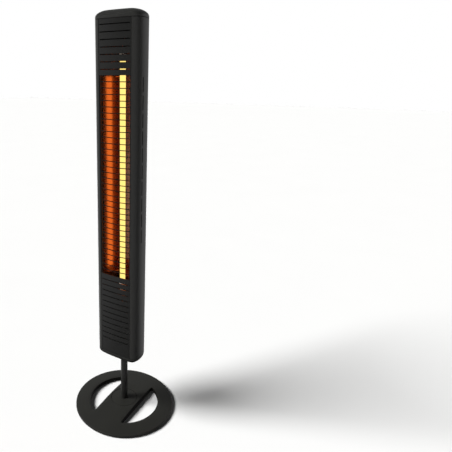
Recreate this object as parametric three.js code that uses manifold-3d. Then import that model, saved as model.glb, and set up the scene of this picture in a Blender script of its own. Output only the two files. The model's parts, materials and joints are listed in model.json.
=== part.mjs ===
// Free-standing infrared patio heater: a slim aluminium tower on a round cast foot.
// Units are millimetres, +Z is up, the heater faces -Y, and the origin is the middle of the foot
// on the ground. Every piece is its own mesh, as it would lie on the bench.

import * as THREE from "three";
import { mergeVertices } from "three/addons/utils/BufferGeometryUtils.js";
import Module from "manifold-3d";

const wasm = await Module();
wasm.setup();

// ---------------------------------------------------------------- driving dimensions

const GAP = 0.3; // clearance between pieces that sit against each other
const NO_CUT = 1; // how far a cutter runs past the face that it cuts

// The tower's cross-section: arcs that run into each other round the right half, front to back.
const FRONT = 65.7; // from the mast's axis to the middle of the front face
const FRONT_CROWN = 700; // radius of the barely curved front face
const CROWN_REACH = 66; // half the width of that face
const FRONT_CORNER = 22.5;
const SIDE = 84; // radius of the bulging side walls
const SIDE_START = 72; // headings where the side wall starts and ends, in degrees from the front
const SIDE_END = 128;
const REAR_CORNER = 40;
const REAR_CROWN = 500;
const WALL = 2.2;

// Heights along the tower.
const HEAD_BOTTOM = 236.5;
const HEAD_TOP = 1498.5;
const CAP_HEIGHT = 27;
const CAP_ROLL = 22; // height of a cap's rounded edge
const CAP_SIDE_INSET = 39.5; // how far that edge draws in at the sides
const CAP_FRONT_INSET = 29; // and at the front and back
const CAP_FULLNESS = 1.8; // 2 would make the edge a quarter ellipse
const CAP_WALL = 3;
const GASKET = 1.4;
const WINDOW_BOTTOM = 588;
const WINDOW_TOP = 1296;

// The front: two slotted plates with a bowed wire guard between them.
const OPENING = 62.9; // half the width of the housing's front opening
const PLATE = 1.6;
const LEDGE_DEPTH = 9; // from the front face back to the ledge that carries plates and guard
const SLOT_WIDTH = 117;
const SLOT_HEIGHT = 3.2;
const TOP_SLOTS = 7;
const TOP_SLOT_FIRST = 1453;
const TOP_SLOT_PITCH = 23;
const LOW_SLOTS = 12;
const LOW_SLOT_FIRST = 566.1;
const LOW_SLOT_PITCH = 22.1;
const WIRES = 34;
const WIRE = 3;
const WIRE_BOW = 9; // how far the middle of a wire stands proud of its ends

// Vents down both side walls.
const VENTS = 10;
const VENT_TOP = 1296;
const VENT_PITCH = 57.5;
const VENT_BRIDGE = 9;
const VENT_WIDTH = 4;
const VENT_Y = -30;

// Two ribs down the inside of the back wall carry what is mounted behind the lamp.
const RIB_X = 51;
const RIB_Y = 30.3;

// The lamp, and the mirror trough behind it.
const LAMP_Y = -13.5;
const LAMP = 20;
const LAMP_BOTTOM = 545;
const LAMP_TOP = 1356;
const TROUGH_BACK = 23; // depth of the flat back of the trough
const TROUGH_HALF_BACK = 29;
const TROUGH_LIP = 55.5; // half the width of its mouth
const TROUGH_FLANGE = 62; // half the width over the flanges that lie behind the ledges
const SHEET = 1;

// Mast and foot.
const MAST = 27;
const MAST_WALL = 2;
const MAST_TOP = 372;
const FOOT_RADIUS = 196;
const RIM_TOP = 14;
const CONE_TOP = 30; // height that the shallow cone of the foot would reach on the axis
const FOOT_BOTTOM = 3;
const FLANGE_RADIUS = 52;
const FLANGE_SEAT = 16;
const CUTOUT_ARC = 137;
const CUTOUT_EDGE = 60.5;
const CUTOUT_CORNER = 5;
const PAD_CIRCLE = 167;
const BOLT_CIRCLE = 36;

// The rocker switch on the back.
const SWITCH_Z = 400;
const ROCKER_HALF_THROW = 10; // degrees to each side of the middle

// ---------------------------------------------------------------- helpers

const rad = THREE.MathUtils.degToRad;
const V2 = (x, y) => new THREE.Vector2(x, y);
const V3 = (x, y, z) => new THREE.Vector3(x, y, z);

// A closed three.js geometry as a solid that can be joined and cut.
function solid(geometry) {
  const bare = geometry.clone();
  bare.deleteAttribute("normal");
  bare.deleteAttribute("uv");
  const merged = mergeVertices(bare, 1e-4);
  return new wasm.Manifold(
    new wasm.Mesh({
      numProp: 3,
      vertProperties: merged.attributes.position.array,
      triVerts: new Uint32Array(merged.index.array),
    }),
  );
}

// A solid back as a three.js geometry.
function geometryOf(body) {
  const mesh = body.getMesh();
  const geometry = new THREE.BufferGeometry();
  const positions = new Float32Array(mesh.vertProperties);
  geometry.setAttribute("position", new THREE.BufferAttribute(positions, 3));
  geometry.setIndex(new THREE.BufferAttribute(new Uint32Array(mesh.triVerts), 1));
  geometry.computeVertexNormals();
  return geometry;
}

const cut = (body, ...tools) => tools.reduce((left, tool) => left.subtract(tool), body);
const join = (body, ...others) => others.reduce((all, other) => all.add(other), body);

// An outline of points pushed straight up from z0 to z1.
function prism(outline, z0, z1) {
  const shape = new THREE.Shape(outline);
  const geometry = new THREE.ExtrudeGeometry(shape, { depth: z1 - z0, bevelEnabled: false });
  return solid(geometry.translate(0, 0, z0));
}

// A profile of [radius, height] pairs turned about the Z axis.
function turned(profile, segments = 32) {
  const points = profile.map(([r, z]) => V2(r, z));
  const first = points[0];
  const last = points[points.length - 1];
  const closesOnAxis = first.x === 0 && last.x === 0;
  if (!closesOnAxis) points.push(first.clone());
  const geometry = new THREE.LatheGeometry(points, segments);
  return solid(geometry.rotateX(Math.PI / 2));
}

const disc = (radius, z0, z1, segments = 24) =>
  turned([[0, z0], [radius, z0], [radius, z1], [0, z1]], segments);

const ring = (outer, inner, z0, z1, segments = 24) =>
  turned([[inner, z0], [outer, z0], [outer, z1], [inner, z1]], segments);

function block(x0, x1, y0, y1, z0, z1) {
  const geometry = new THREE.BoxGeometry(x1 - x0, y1 - y0, z1 - z0);
  return solid(geometry.translate((x0 + x1) / 2, (y0 + y1) / 2, (z0 + z1) / 2));
}

// Points along an arc from one angle to another, both in radians.
function arc(cx, cy, radius, from, to, steps) {
  return Array.from({ length: steps + 1 }, (_, i) => {
    const angle = from + ((to - from) * i) / steps;
    return V2(cx + radius * Math.cos(angle), cy + radius * Math.sin(angle));
  });
}

// A rectangle with rounded corners, centred on x, y.
function roundedRectangle(width, height, radius, steps = 3, x = 0, y = 0) {
  const [w, h] = [width / 2 - radius, height / 2 - radius];
  const quarter = Math.PI / 2;
  const corners = [[1, 1], [-1, 1], [-1, -1], [1, -1]];
  return corners.flatMap(([sideX, sideY], i) =>
    arc(x + sideX * w, y + sideY * h, radius, i * quarter, (i + 1) * quarter, steps),
  );
}

const polygon = (radius, sides) => arc(0, 0, radius, 0, 2 * Math.PI, sides).slice(0, sides);

// A round bar of a few sides along a curve.
function bar(curve, diameter, sides, steps) {
  const section = polygon(diameter / 2, sides);
  return solid(new THREE.ExtrudeGeometry(new THREE.Shape(section), { steps, extrudePath: curve }));
}

// The outline of a bent sheet: an open line of points given a thickness to its left.
function sheetOutline(line, thickness) {
  const away = line.map((point, i) => {
    const before = line[Math.max(i - 1, 0)];
    const after = line[Math.min(i + 1, line.length - 1)];
    const a = point.clone().sub(before);
    const b = after.clone().sub(point);
    const first = (a.lengthSq() > 0 ? a : b).clone().normalize();
    const second = (b.lengthSq() > 0 ? b : a).clone().normalize();
    const normal = V2(-first.y - second.y, first.x + second.x).normalize();
    const stretch = thickness / Math.max(normal.dot(V2(-first.y, first.x)), 0.2);
    return point.clone().addScaledVector(normal, stretch);
  });
  return [...line, ...away.reverse()];
}

const mirrored = (line) => [...line, ...line.map((p) => V2(-p.x, p.y)).reverse()];

// A piece made along +Z, turned to point out of the heater's back along +Y.
const facingBack = (body, x, y, z) => body.rotate([-90, 0, 0]).translate([x, y, z]);

// ---------------------------------------------------------------- finishes

const finish = (color, roughness, metalness) =>
  new THREE.MeshStandardMaterial({ color, roughness, metalness });

const BLACK_COAT = finish(0x2b2b29, 0.5, 0.1);
const DARK_COAT = finish(0x242422, 0.45, 0.1);
const CAST_COAT = finish(0x2c2c2a, 0.55, 0.1);
const MIRROR = finish(0xc9a878, 0.18, 1);
const STEEL = finish(0x9a9a98, 0.35, 1);
const RUBBER = finish(0x1a1a1a, 0.85, 0);
const CERAMIC = finish(0xe6e1d6, 0.6, 0);
const PLASTIC = finish(0x202020, 0.5, 0);
const GREY_PLASTIC = finish(0xb8b8b4, 0.5, 0);
const SILICONE = finish(0x8c2f22, 0.6, 0);
const QUARTZ = finish(0xffd27a, 0.1, 0);
QUARTZ.emissive.set(0xff9a30);
const CARBON = finish(0xfff0a0, 0.6, 0);
CARBON.emissive.set(0xffb040);

const heater = new THREE.Group();

function piece(name, body, material, parent = heater) {
  const mesh = new THREE.Mesh(geometryOf(body), material);
  mesh.name = name;
  parent.add(mesh);
  return mesh;
}

// ---------------------------------------------------------------- the tower's cross-section

// Centres, radii and headings of the arcs. Heading 0 faces the front and 180 degrees the back,
// and each arc's centre lies on the line where it meets the one before.
function sectionArcs() {
  const crownEnd = Math.asin(CROWN_REACH / FRONT_CROWN);
  const front = { x: 0, y: FRONT_CROWN - FRONT, radius: FRONT_CROWN, from: 0, to: crownEnd, steps: 2 };
  const after = ({ x, y, radius: before, to: from }, radius, steps) => {
    const shift = before - radius;
    return { x: x + shift * Math.sin(from), y: y - shift * Math.cos(from), radius, from, steps };
  };
  const frontCorner = { ...after(front, FRONT_CORNER, 4), to: rad(SIDE_START) };
  const side = { ...after(frontCorner, SIDE, 4), to: rad(SIDE_END) };
  const rearCorner = after(side, REAR_CORNER, 3);
  rearCorner.to = Math.PI - Math.asin(rearCorner.x / (REAR_CROWN - REAR_CORNER));
  const back = { ...after(rearCorner, REAR_CROWN, 1), to: Math.PI };
  return [front, frontCorner, side, rearCorner, back];
}

const SECTION = sectionArcs();

// The outline of the tower drawn in by an inset, anticlockwise from the middle of the front.
function towerOutline(inset = 0) {
  const right = SECTION.flatMap(({ x, y, radius, from, to, steps }) =>
    arc(x, y, radius - inset, from - Math.PI / 2, to - Math.PI / 2, steps).slice(1),
  );
  const left = right.slice(0, -1).map((p) => V2(-p.x, p.y));
  return [V2(0, inset - FRONT), ...right, ...left.reverse()];
}

const SKIN = new THREE.Box2().setFromPoints(towerOutline());
const HALF_WIDTH = SKIN.max.x;

// Depth of the crowned front and back faces at x, measured on the outer skin.
const frontFaceY = (x) => SECTION[0].y - Math.sqrt(FRONT_CROWN ** 2 - x ** 2);
const rearFaceY = (x) => SECTION[4].y + Math.sqrt(REAR_CROWN ** 2 - x ** 2);

const EDGE_Y = frontFaceY(OPENING); // where the housing's front edges lie
const LEDGE_Y = EDGE_Y + LEDGE_DEPTH;
const LEDGE = 1.8;
const TROUGH_MOUTH = LEDGE_Y + LEDGE + GAP;
const SHELL_BOTTOM = HEAD_BOTTOM + CAP_HEIGHT + 2 * GAP + GASKET;
const SHELL_TOP = HEAD_TOP - CAP_HEIGHT - 2 * GAP - GASKET;

// ---------------------------------------------------------------- housing

function housing() {
  const outer = prism(towerOutline(), SHELL_BOTTOM, SHELL_TOP);
  const inner = prism(towerOutline(WALL), SHELL_BOTTOM - NO_CUT, SHELL_TOP + NO_CUT);
  const mouth = block(-OPENING, OPENING, -90, LEDGE_Y, SHELL_BOTTOM - NO_CUT, SHELL_TOP + NO_CUT);
  let body = cut(outer, inner, mouth);
  for (const side of [-1, 1]) {
    // Each front edge is folded back into a channel whose ledge carries the plates and the guard.
    const fold = [
      V2(side * OPENING, EDGE_Y + 0.4),
      V2(side * OPENING, LEDGE_Y),
      V2(side * (OPENING - 5), LEDGE_Y),
      V2(side * (OPENING - 5), LEDGE_Y + LEDGE),
      V2(side * (OPENING + 1.8), LEDGE_Y + LEDGE),
      V2(side * (OPENING + 1.8), EDGE_Y + 0.4),
    ];
    if (side < 0) fold.reverse();
    // A rib on the back wall carries the heat shield and the control box.
    const root = rearFaceY(RIB_X) - 1.9;
    const rib = block(RIB_X - 1, RIB_X + 1, RIB_Y, root, SHELL_BOTTOM + 130, SHELL_TOP - 20);
    body = join(
      body,
      prism(fold, SHELL_BOTTOM, SHELL_TOP),
      side > 0 ? rib : rib.mirror([1, 0, 0]),
    );
  }
  // Each vent's cutter runs through both side walls.
  const vent = prism(
    roundedRectangle(VENT_WIDTH, VENT_PITCH - VENT_BRIDGE, VENT_WIDTH / 2 - 0.01, 1),
    -HALF_WIDTH - NO_CUT,
    HALF_WIDTH + NO_CUT,
  ).rotate([90, 0, 90]);
  for (let i = 0; i < VENTS; i += 1) {
    body = cut(body, vent.translate([0, VENT_Y, VENT_TOP - VENT_PITCH * (i + 0.5)]));
  }
  const back = rearFaceY(0);
  const switchHole = block(-13.8, 13.8, back - 8, back + 4, SWITCH_Z - 10.1, SWITCH_Z + 10.1);
  const screwHole = facingBack(disc(2.3, -20, 20, 8), 0, back, 0);
  const screwHoles = SCREW_PLACES.map(([x, z]) => screwHole.translate([x, 0, z]));
  return cut(body, switchHole, ...screwHoles);
}

// The caps are held by two screws each through the back wall into the caps' spigots.
const SCREW_X = 40;
const SCREW_PLACES = [
  [-SCREW_X, HEAD_BOTTOM + CAP_HEIGHT + 11],
  [SCREW_X, HEAD_BOTTOM + CAP_HEIGHT + 11],
  [-SCREW_X, HEAD_TOP - CAP_HEIGHT - 11],
  [SCREW_X, HEAD_TOP - CAP_HEIGHT - 11],
];

// ---------------------------------------------------------------- rounded end caps

// A closed skin through a stack of outlines that all have the same number of points.
function loft(rings) {
  const count = rings[0].points.length;
  const positions = [];
  for (const { points, z } of rings) {
    for (const p of points) positions.push(p.x, p.y, z);
  }
  const index = [];
  for (let level = 0; level < rings.length - 1; level += 1) {
    for (let i = 0; i < count; i += 1) {
      const a = level * count + i;
      const b = level * count + ((i + 1) % count);
      index.push(a, b, b + count, a, b + count, a + count);
    }
  }
  const closeEnd = (level, facesUp) => {
    const triangles = THREE.ShapeUtils.triangulateShape(rings[level].points, []);
    for (const [a, b, c] of triangles) {
      const [p, q] = facesUp ? [b, c] : [c, b];
      index.push(level * count + a, level * count + p, level * count + q);
    }
  };
  closeEnd(0, false);
  closeEnd(rings.length - 1, true);
  const geometry = new THREE.BufferGeometry();
  geometry.setAttribute("position", new THREE.Float32BufferAttribute(positions, 3));
  geometry.setIndex(index);
  return solid(geometry);
}

// A pillow end: the outline runs straight up to the roll, then draws in over a rounded edge.
function pillow(inset, height, steps) {
  const middle = (SKIN.min.y + SKIN.max.y) / 2;
  const sideInset = CAP_SIDE_INSET / SKIN.max.x;
  const frontInset = CAP_FRONT_INSET / (SKIN.max.y - middle);
  const rings = [{ points: towerOutline(inset), z: 0 }];
  for (let i = 0; i <= steps; i += 1) {
    const up = Math.sin((i / steps) * (Math.PI / 2));
    const drawn = 1 - (1 - up ** CAP_FULLNESS) ** (1 / CAP_FULLNESS);
    const [sx, sy] = [1 - sideInset * drawn, 1 - frontInset * drawn];
    const points = towerOutline(inset).map((p) => V2(p.x * sx, middle + (p.y - middle) * sy));
    rings.push({ points, z: height - CAP_ROLL * (1 - up) });
  }
  return loft(rings);
}

// The cap standing on z = 0 with its rounded end up and its spigot reaching down.
function endCap() {
  const outer = pillow(0, CAP_HEIGHT, 5);
  const hollow = pillow(CAP_WALL, CAP_HEIGHT - CAP_WALL, 2);
  const open = prism(towerOutline(CAP_WALL), -NO_CUT, 0.5);
  const spigotOuter = prism(towerOutline(WALL + 0.5), -16, 3);
  const spigotInner = prism(towerOutline(WALL + 3), -16 - NO_CUT, 3 + NO_CUT);
  const frontClear = block(-90, 90, -90, -41, -16 - NO_CUT, 0);
  const spigot = cut(spigotOuter, spigotInner, frontClear);
  const pilot = facingBack(disc(1.6, -20, 20, 6), 0, rearFaceY(0), -11);
  return cut(
    join(cut(outer, hollow, open), spigot),
    pilot.translate([SCREW_X, 0, 0]),
    pilot.translate([-SCREW_X, 0, 0]),
  );
}

const GLAND_X = -36;
const GLAND_Y = -9;
const SOCKET_BOLTS = [[-30, -26], [30, -26], [-30, 8], [30, 8]];

function bottomCap() {
  const shell = endCap().rotate([0, 180, 0]).translate([0, 0, HEAD_BOTTOM + CAP_HEIGHT]);
  const floor = HEAD_BOTTOM + CAP_WALL - 0.5;
  const pads = SOCKET_BOLTS.map(([x, y]) =>
    disc(7, floor, HEAD_BOTTOM + CAP_HEIGHT, 10).translate([x, y, 0]),
  );
  const collar = ring(MAST / 2 + 3.5, MAST / 2 + GAP, floor, HEAD_BOTTOM + CAP_HEIGHT, 20);
  const mastHole = disc(MAST / 2 + GAP, HEAD_BOTTOM - NO_CUT, HEAD_BOTTOM + CAP_HEIGHT + NO_CUT, 20);
  const glandHole = disc(8 + GAP, HEAD_BOTTOM - NO_CUT, floor + 8, 16).translate([GLAND_X, GLAND_Y, 0]);
  const threads = SOCKET_BOLTS.map(([x, y]) =>
    disc(2.5 + GAP, floor + 6, HEAD_BOTTOM + CAP_HEIGHT + NO_CUT, 8).translate([x, y, 0]),
  );
  return cut(join(shell, collar, ...pads), mastHole, glandHole, ...threads);
}

const topCap = () => endCap().translate([0, 0, HEAD_TOP - CAP_HEIGHT]);

function gasket(z0) {
  return cut(
    prism(towerOutline(0.5), z0, z0 + GASKET),
    prism(towerOutline(WALL), z0 - NO_CUT, z0 + GASKET + NO_CUT),
  );
}

// ---------------------------------------------------------------- front plates and guard

// A slotted plate: a crowned front skin with its long edges folded back onto the ledges.
function slottedPlate(z0, z1, slotHeights) {
  const half = OPENING - 0.5;
  const steps = 4;
  const face = Array.from({ length: steps + 1 }, (_, i) => {
    const x = -half + (2 * half * i) / steps;
    return V2(x, frontFaceY(x));
  });
  const line = [V2(-half, LEDGE_Y - GAP), ...face, V2(half, LEDGE_Y - GAP)];
  const plate = prism(sheetOutline(line, PLATE), z0, z1);
  const slot = prism(roundedRectangle(SLOT_WIDTH, SLOT_HEIGHT, SLOT_HEIGHT / 2 - 0.01, 1), 0, 20)
    .rotate([90, 0, 0])
    .translate([0, LEDGE_Y - PLATE - 1, 0]);
  return cut(plate, ...slotHeights.map((z) => slot.translate([0, 0, z])));
}

const slotHeights = (first, pitch, count) =>
  Array.from({ length: count }, (_, i) => first - pitch * i);

// The wire guard: bowed round bars let into two flat side rails.
class BowedWire extends THREE.Curve {
  constructor(half, endY, bow, z) {
    super();
    this.radius = (half ** 2 + bow ** 2) / (2 * bow);
    this.sweep = Math.asin(half / this.radius);
    this.centreY = endY - bow + this.radius;
    this.z = z;
  }

  getPoint(t) {
    const angle = (2 * t - 1) * this.sweep;
    return V3(this.radius * Math.sin(angle), this.centreY - this.radius * Math.cos(angle), this.z);
  }
}

function wireGuard() {
  const railOuter = OPENING - 0.6;
  const railWidth = 4;
  const railFront = EDGE_Y + 1.5;
  const railBack = LEDGE_Y - GAP;
  const pitch = (WINDOW_TOP - WINDOW_BOTTOM) / (WIRES + 1);
  const wireY = railFront + WIRE / 2 + 0.8;
  const rails = [-1, 1].map((side) => {
    const [a, b] = [side * railOuter, side * (railOuter - railWidth)];
    const z = [WINDOW_BOTTOM + GAP, WINDOW_TOP - GAP];
    return block(Math.min(a, b), Math.max(a, b), railFront, railBack, ...z);
  });
  const wires = Array.from({ length: WIRES }, (_, i) => {
    const z = WINDOW_BOTTOM + pitch * (i + 1);
    return bar(new BowedWire(railOuter - railWidth / 2, wireY, WIRE_BOW, z), WIRE, 4, 4);
  });
  return join(...rails, ...wires);
}

// ---------------------------------------------------------------- lamp and mirror trough

// Half of the trough from its mouth to its middle, with a soft bend where wing meets back.
function troughLine(grow = 0) {
  const lip = V2(TROUGH_LIP + grow, TROUGH_MOUTH);
  const bend = V2(TROUGH_HALF_BACK + grow, TROUGH_BACK + grow);
  const middle = V2(0, TROUGH_BACK + grow);
  const wing = new THREE.LineCurve(lip, bend);
  const back = new THREE.LineCurve(bend, middle);
  const soft = new THREE.QuadraticBezierCurve(wing.getPoint(0.8), bend, back.getPoint(0.4));
  return [lip, ...soft.getPoints(4)];
}

function reflector() {
  const line = mirrored([V2(TROUGH_FLANGE, TROUGH_MOUTH), ...troughLine()]);
  return prism(sheetOutline(line.reverse(), SHEET), WINDOW_BOTTOM + 2, WINDOW_TOP - 2);
}

function troughEnd(z0) {
  const line = troughLine(-0.5);
  const plate = prism(mirrored(line), z0, z0 + SHEET);
  return cut(plate, disc(LAMP / 2 + 1.5, z0 - 1, z0 + SHEET + 1, 16).translate([0, LAMP_Y, 0]));
}

const lampTube = () =>
  ring(LAMP / 2, LAMP / 2 - 1.4, LAMP_BOTTOM, LAMP_TOP, 18).translate([0, LAMP_Y, 0]);

// A flat ribbon of woven carbon, necked down to a shank that runs out through each ceramic end.
function carbonRibbon() {
  const [half, neck, thick] = [4.6, 1.4, 1.2];
  const [z0, z1] = [LAMP_BOTTOM - 27, LAMP_TOP + 27];
  const edge = [
    V2(neck, z0),
    V2(neck, LAMP_BOTTOM + 6),
    V2(half, LAMP_BOTTOM + 24),
    V2(half, LAMP_TOP - 24),
    V2(neck, LAMP_TOP - 6),
    V2(neck, z1),
  ];
  return prism(mirrored(edge), -thick / 2, thick / 2).rotate([90, 0, 0]).translate([0, LAMP_Y, 0]);
}

// A ceramic end: a cup over the end of the tube, a waist for the holder and a tip for the lead.
function lampEnd() {
  const cup = LAMP / 2 + 2.5;
  const profile = [
    [LAMP / 2 + GAP, -7],
    [cup, -7],
    [cup, 9],
    [8, 11],
    [8, 20],
    [10, 21],
    [10, 27],
    [2.2, 27],
    [2.2, GAP],
    [LAMP / 2 + GAP, GAP],
  ];
  return turned(profile, 14);
}

const SHIELD_Y = RIB_Y - GAP; // the back of the heat shield, against the ribs

// A sheet-metal holder: a fork plate round the waist, folded along the heat shield.
function lampHolder() {
  const [waist, plate] = [8.4, 1.5];
  const reach = SHIELD_Y - SHEET - GAP - LAMP_Y;
  const fork = [
    V2(-18, -14),
    V2(-waist, -14),
    ...arc(0, 0, waist, Math.PI, 0, 8),
    V2(waist, -14),
    V2(18, -14),
    V2(18, reach),
    V2(-18, reach),
  ];
  const tab = block(-18, 18, reach - plate, reach, 0, 26);
  const hole = facingBack(disc(2.2, -6, 6, 8), 0, reach, 14);
  return cut(join(prism(fork, 0, plate), tab), hole);
}

function heatShield() {
  const half = [V2(74, -30), V2(70, SHIELD_Y - 10), V2(60, SHIELD_Y)];
  const line = mirrored(half).reverse();
  return prism(sheetOutline(line, -SHEET), LAMP_BOTTOM - 33, LAMP_TOP + 42);
}

// ---------------------------------------------------------------- mast and foot

const coneZ = (r) => CONE_TOP - ((CONE_TOP - RIM_TOP) * r) / FOOT_RADIUS;

// One D-shaped cut-out on the right: an arc and a chord whose corners are rounded.
function cutoutShape() {
  const [R, e, q] = [CUTOUT_ARC, CUTOUT_EDGE, CUTOUT_CORNER];
  const y = Math.sqrt((R - q) ** 2 - (e + q) ** 2);
  const tangent = Math.atan2(y, e + q);
  return [
    ...arc(0, 0, R, -tangent, tangent, 16),
    ...arc(e + q, y, q, tangent, Math.PI, 3).slice(1),
    ...arc(e + q, -y, q, Math.PI, 2 * Math.PI - tangent, 3).slice(0, -1),
  ];
}

const PADS = [45, 135, 225, 315].map((a) => [
  PAD_CIRCLE * Math.cos(rad(a)),
  PAD_CIRCLE * Math.sin(rad(a)),
]);
const BOLTS = [45, 135, 225, 315].map((a) => [
  BOLT_CIRCLE * Math.cos(rad(a)),
  BOLT_CIRCLE * Math.sin(rad(a)),
]);

function footPlate() {
  const edge = 3;
  const rim = arc(FOOT_RADIUS - edge, RIM_TOP - edge, edge, 0, rad(85), 3).map((p) => [p.x, p.y]);
  const seat = FLANGE_RADIUS + GAP;
  const profile = [
    [0, FOOT_BOTTOM],
    [FOOT_RADIUS - 2, FOOT_BOTTOM],
    [FOOT_RADIUS, FOOT_BOTTOM + 2],
    ...rim,
    [seat, coneZ(seat)],
    [seat, FLANGE_SEAT],
    [0, FLANGE_SEAT],
  ];
  const plate = turned(profile, 48);
  const opening = prism(cutoutShape(), -NO_CUT, CONE_TOP + NO_CUT);
  const boltHoles = BOLTS.map(([x, y]) =>
    join(disc(4.6, 0, FLANGE_SEAT + 1, 8), disc(8.5, 0, FOOT_BOTTOM + 6, 12)).translate([x, y, 0]),
  );
  const padHoles = PADS.map(([x, y]) => disc(5 + GAP, 0, 8, 10).translate([x, y, 0]));
  return cut(plate, opening, opening.rotate([0, 0, 180]), ...boltHoles, ...padHoles);
}

function rubberPad(x, y) {
  const top = FOOT_BOTTOM - GAP;
  const profile = [
    [0, 0],
    [11, 0],
    [12, 1],
    [12, top],
    [5, top],
    [5, 7.5],
    [0, 7.5],
  ];
  return turned(profile, 10).translate([x, y, 0]);
}

// The flange fills its seat in the foot and carries on the foot's shallow cone.
function mastFlange() {
  const bore = MAST / 2 + GAP;
  const profile = [
    [bore, FLANGE_SEAT + GAP],
    [FLANGE_RADIUS - 1, FLANGE_SEAT + GAP],
    [FLANGE_RADIUS, FLANGE_SEAT + GAP + 1],
    [FLANGE_RADIUS, coneZ(FLANGE_RADIUS) - 0.5],
    [FLANGE_RADIUS - 0.5, coneZ(FLANGE_RADIUS - 0.5)],
    [bore, coneZ(bore)],
  ];
  const holes = BOLTS.map(([x, y]) =>
    disc(4 + GAP, FLANGE_SEAT - 1, FLANGE_SEAT + 7.6, 10).translate([x, y, 0]),
  );
  return cut(turned(profile, 32), ...holes);
}

function footBolt(x, y) {
  const head = FOOT_BOTTOM + 6 - GAP;
  const hex = polygon(7.2, 6);
  const bolt = join(prism(hex, head - 5, head), disc(4, head - 1, FLANGE_SEAT + 7, 10));
  return bolt.translate([x, y, 0]);
}

const mast = () => ring(MAST / 2, MAST / 2 - MAST_WALL, FLANGE_SEAT + GAP, MAST_TOP, 24);

// A cast socket in the bottom of the tower: a flanged sleeve that grips the mast.
const SOCKET_BASE = HEAD_BOTTOM + CAP_HEIGHT + GAP;
const SOCKET_TOP = SOCKET_BASE + 5; // upper face of its base plate
const CLAMP_HEIGHTS = [300, 345];

function mastSocket() {
  const bore = MAST / 2 + GAP;
  const sleeve = disc(bore + 4.5, SOCKET_BASE, MAST_TOP - 6, 20);
  const plate = prism(roundedRectangle(140, 52, 8, 2, 0, -9), SOCKET_BASE, SOCKET_TOP);
  const webs = [0, 90, 180].map((angle) => {
    const web = [V2(0, 4), V2(31, 4), V2(31, 10), V2(21, 48), V2(0, 48)];
    const upright = prism(web, -2, 2).rotate([90, 0, 0]).translate([0, 0, SOCKET_BASE]);
    return upright.rotate([0, 0, -angle]);
  });
  const bosses = CLAMP_HEIGHTS.map((z) => facingBack(disc(6, 0, 22, 10), 0, 0, z));
  const hollow = disc(bore, SOCKET_BASE - NO_CUT, MAST_TOP, 20);
  const threads = CLAMP_HEIGHTS.map((z) => facingBack(disc(3 + GAP, 0, 23, 8), 0, 0, z));
  const boltHoles = SOCKET_BOLTS.map(([x, y]) =>
    disc(2.9, SOCKET_BASE - 1, SOCKET_BASE + 6, 8).translate([x, y, 0]),
  );
  return cut(join(sleeve, plate, ...webs, ...bosses), hollow, ...threads, ...boltHoles);
}

function socketBolt(x, y) {
  const under = SOCKET_TOP + GAP;
  const head = cut(disc(4.4, under, under + 4.6, 10), disc(2.2, under + 2, under + 6, 6));
  return join(head, disc(2.5, under - 18, under + 0.5, 8)).translate([x, y, 0]);
}

function clampScrew(z) {
  const shank = disc(3, MAST / 2 + GAP, 25, 8);
  const head = cut(disc(4.6, 22 + GAP, 27, 12), disc(2.4, 24.5, 28, 6));
  return join(shank, head).rotate([-90, 0, 0]).translate([0, 0, z]);
}

// ---------------------------------------------------------------- electrical parts

function capScrew(x, z) {
  const head = turned([[0, 0], [4.2, 0], [4.2, 1.2], [2.8, 2.4], [0, 2.6]], 8);
  const drive = disc(1.5, 1, 4, 6);
  const shank = disc(1.3, -9, 0.5, 6);
  return cut(join(head, shank), drive).rotate([-90, 0, 0]).translate([x, rearFaceY(x) + GAP, z]);
}

const SWITCH_FACE = rearFaceY(0) + GAP; // the bezel's seat on the back wall
const PIVOT_Y = SWITCH_FACE + 1.2;

function switchBody() {
  const depth = 20;
  const bezel = prism(roundedRectangle(31, 24, 2.5, 2), 0, 2.2);
  const tub = prism(roundedRectangle(27, 19.6, 1, 1), -depth, 0.5);
  const blades = [-6, 0, 6].map((x) => block(x - 0.4, x + 0.4, -2.4, 2.4, -depth - 7, -depth + 1));
  const cavity = prism(roundedRectangle(23, 17, 0.8, 1), -11, 4);
  const pinHole = disc(1.5 + GAP, -12.9, 12.9, 8).rotate([0, 90, 0]).translate([0, 0, 1.2]);
  return cut(join(bezel, tub, ...blades), cavity, pinHole)
    .rotate([-90, 0, 0])
    .translate([0, SWITCH_FACE, SWITCH_Z]);
}

// The rocker is drawn about its own pivot: round ends, and a shallow V across the face.
function rocker() {
  const reach = 7.9;
  const rise = rad(ROCKER_HALF_THROW);
  const tip = Math.asin((1.2 + reach * Math.sin(rise) * 0.95) / reach);
  const under = rad(-38);
  const side = [
    ...arc(0, 0, reach, under, tip, 5),
    V2(0, 1.2),
    ...arc(0, 0, reach, Math.PI - tip, Math.PI - under, 5),
    V2(0, -7.2),
  ];
  const body = prism(side, -11, 11);
  const pins = disc(1.5, -12.6, 12.6, 8);
  return join(body, pins).rotate([0, 90, 0]);
}

function glandBody() {
  const hex = polygon(12, 6);
  const under = HEAD_BOTTOM - GAP;
  const domed = turned(
    [[0, under - 20], [6.5, under - 20], [9, under - 17], [10, under - 9], [10, under - 4], [0, under - 4]],
    16,
  );
  const body = join(prism(hex, under - 5, under), domed, disc(8, under - 1, under + 16, 16));
  return cut(body, disc(4.5, under - 21, under + 17, 12)).translate([GLAND_X, GLAND_Y, 0]);
}

function glandNut() {
  const hex = polygon(11.5, 6);
  const seat = HEAD_BOTTOM + CAP_WALL + GAP;
  return cut(prism(hex, seat, seat + 5), disc(8 + GAP, seat - 1, seat + 6, 16))
    .rotate([0, 0, 30])
    .translate([GLAND_X, GLAND_Y, 0]);
}

const BOX = { x: 44, front: -14, back: RIB_Y - GAP, bottom: 414, top: 500, wall: 2 };
const BOARD_Y = BOX.back - BOX.wall - 5; // the board's back face, on four posts

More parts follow.
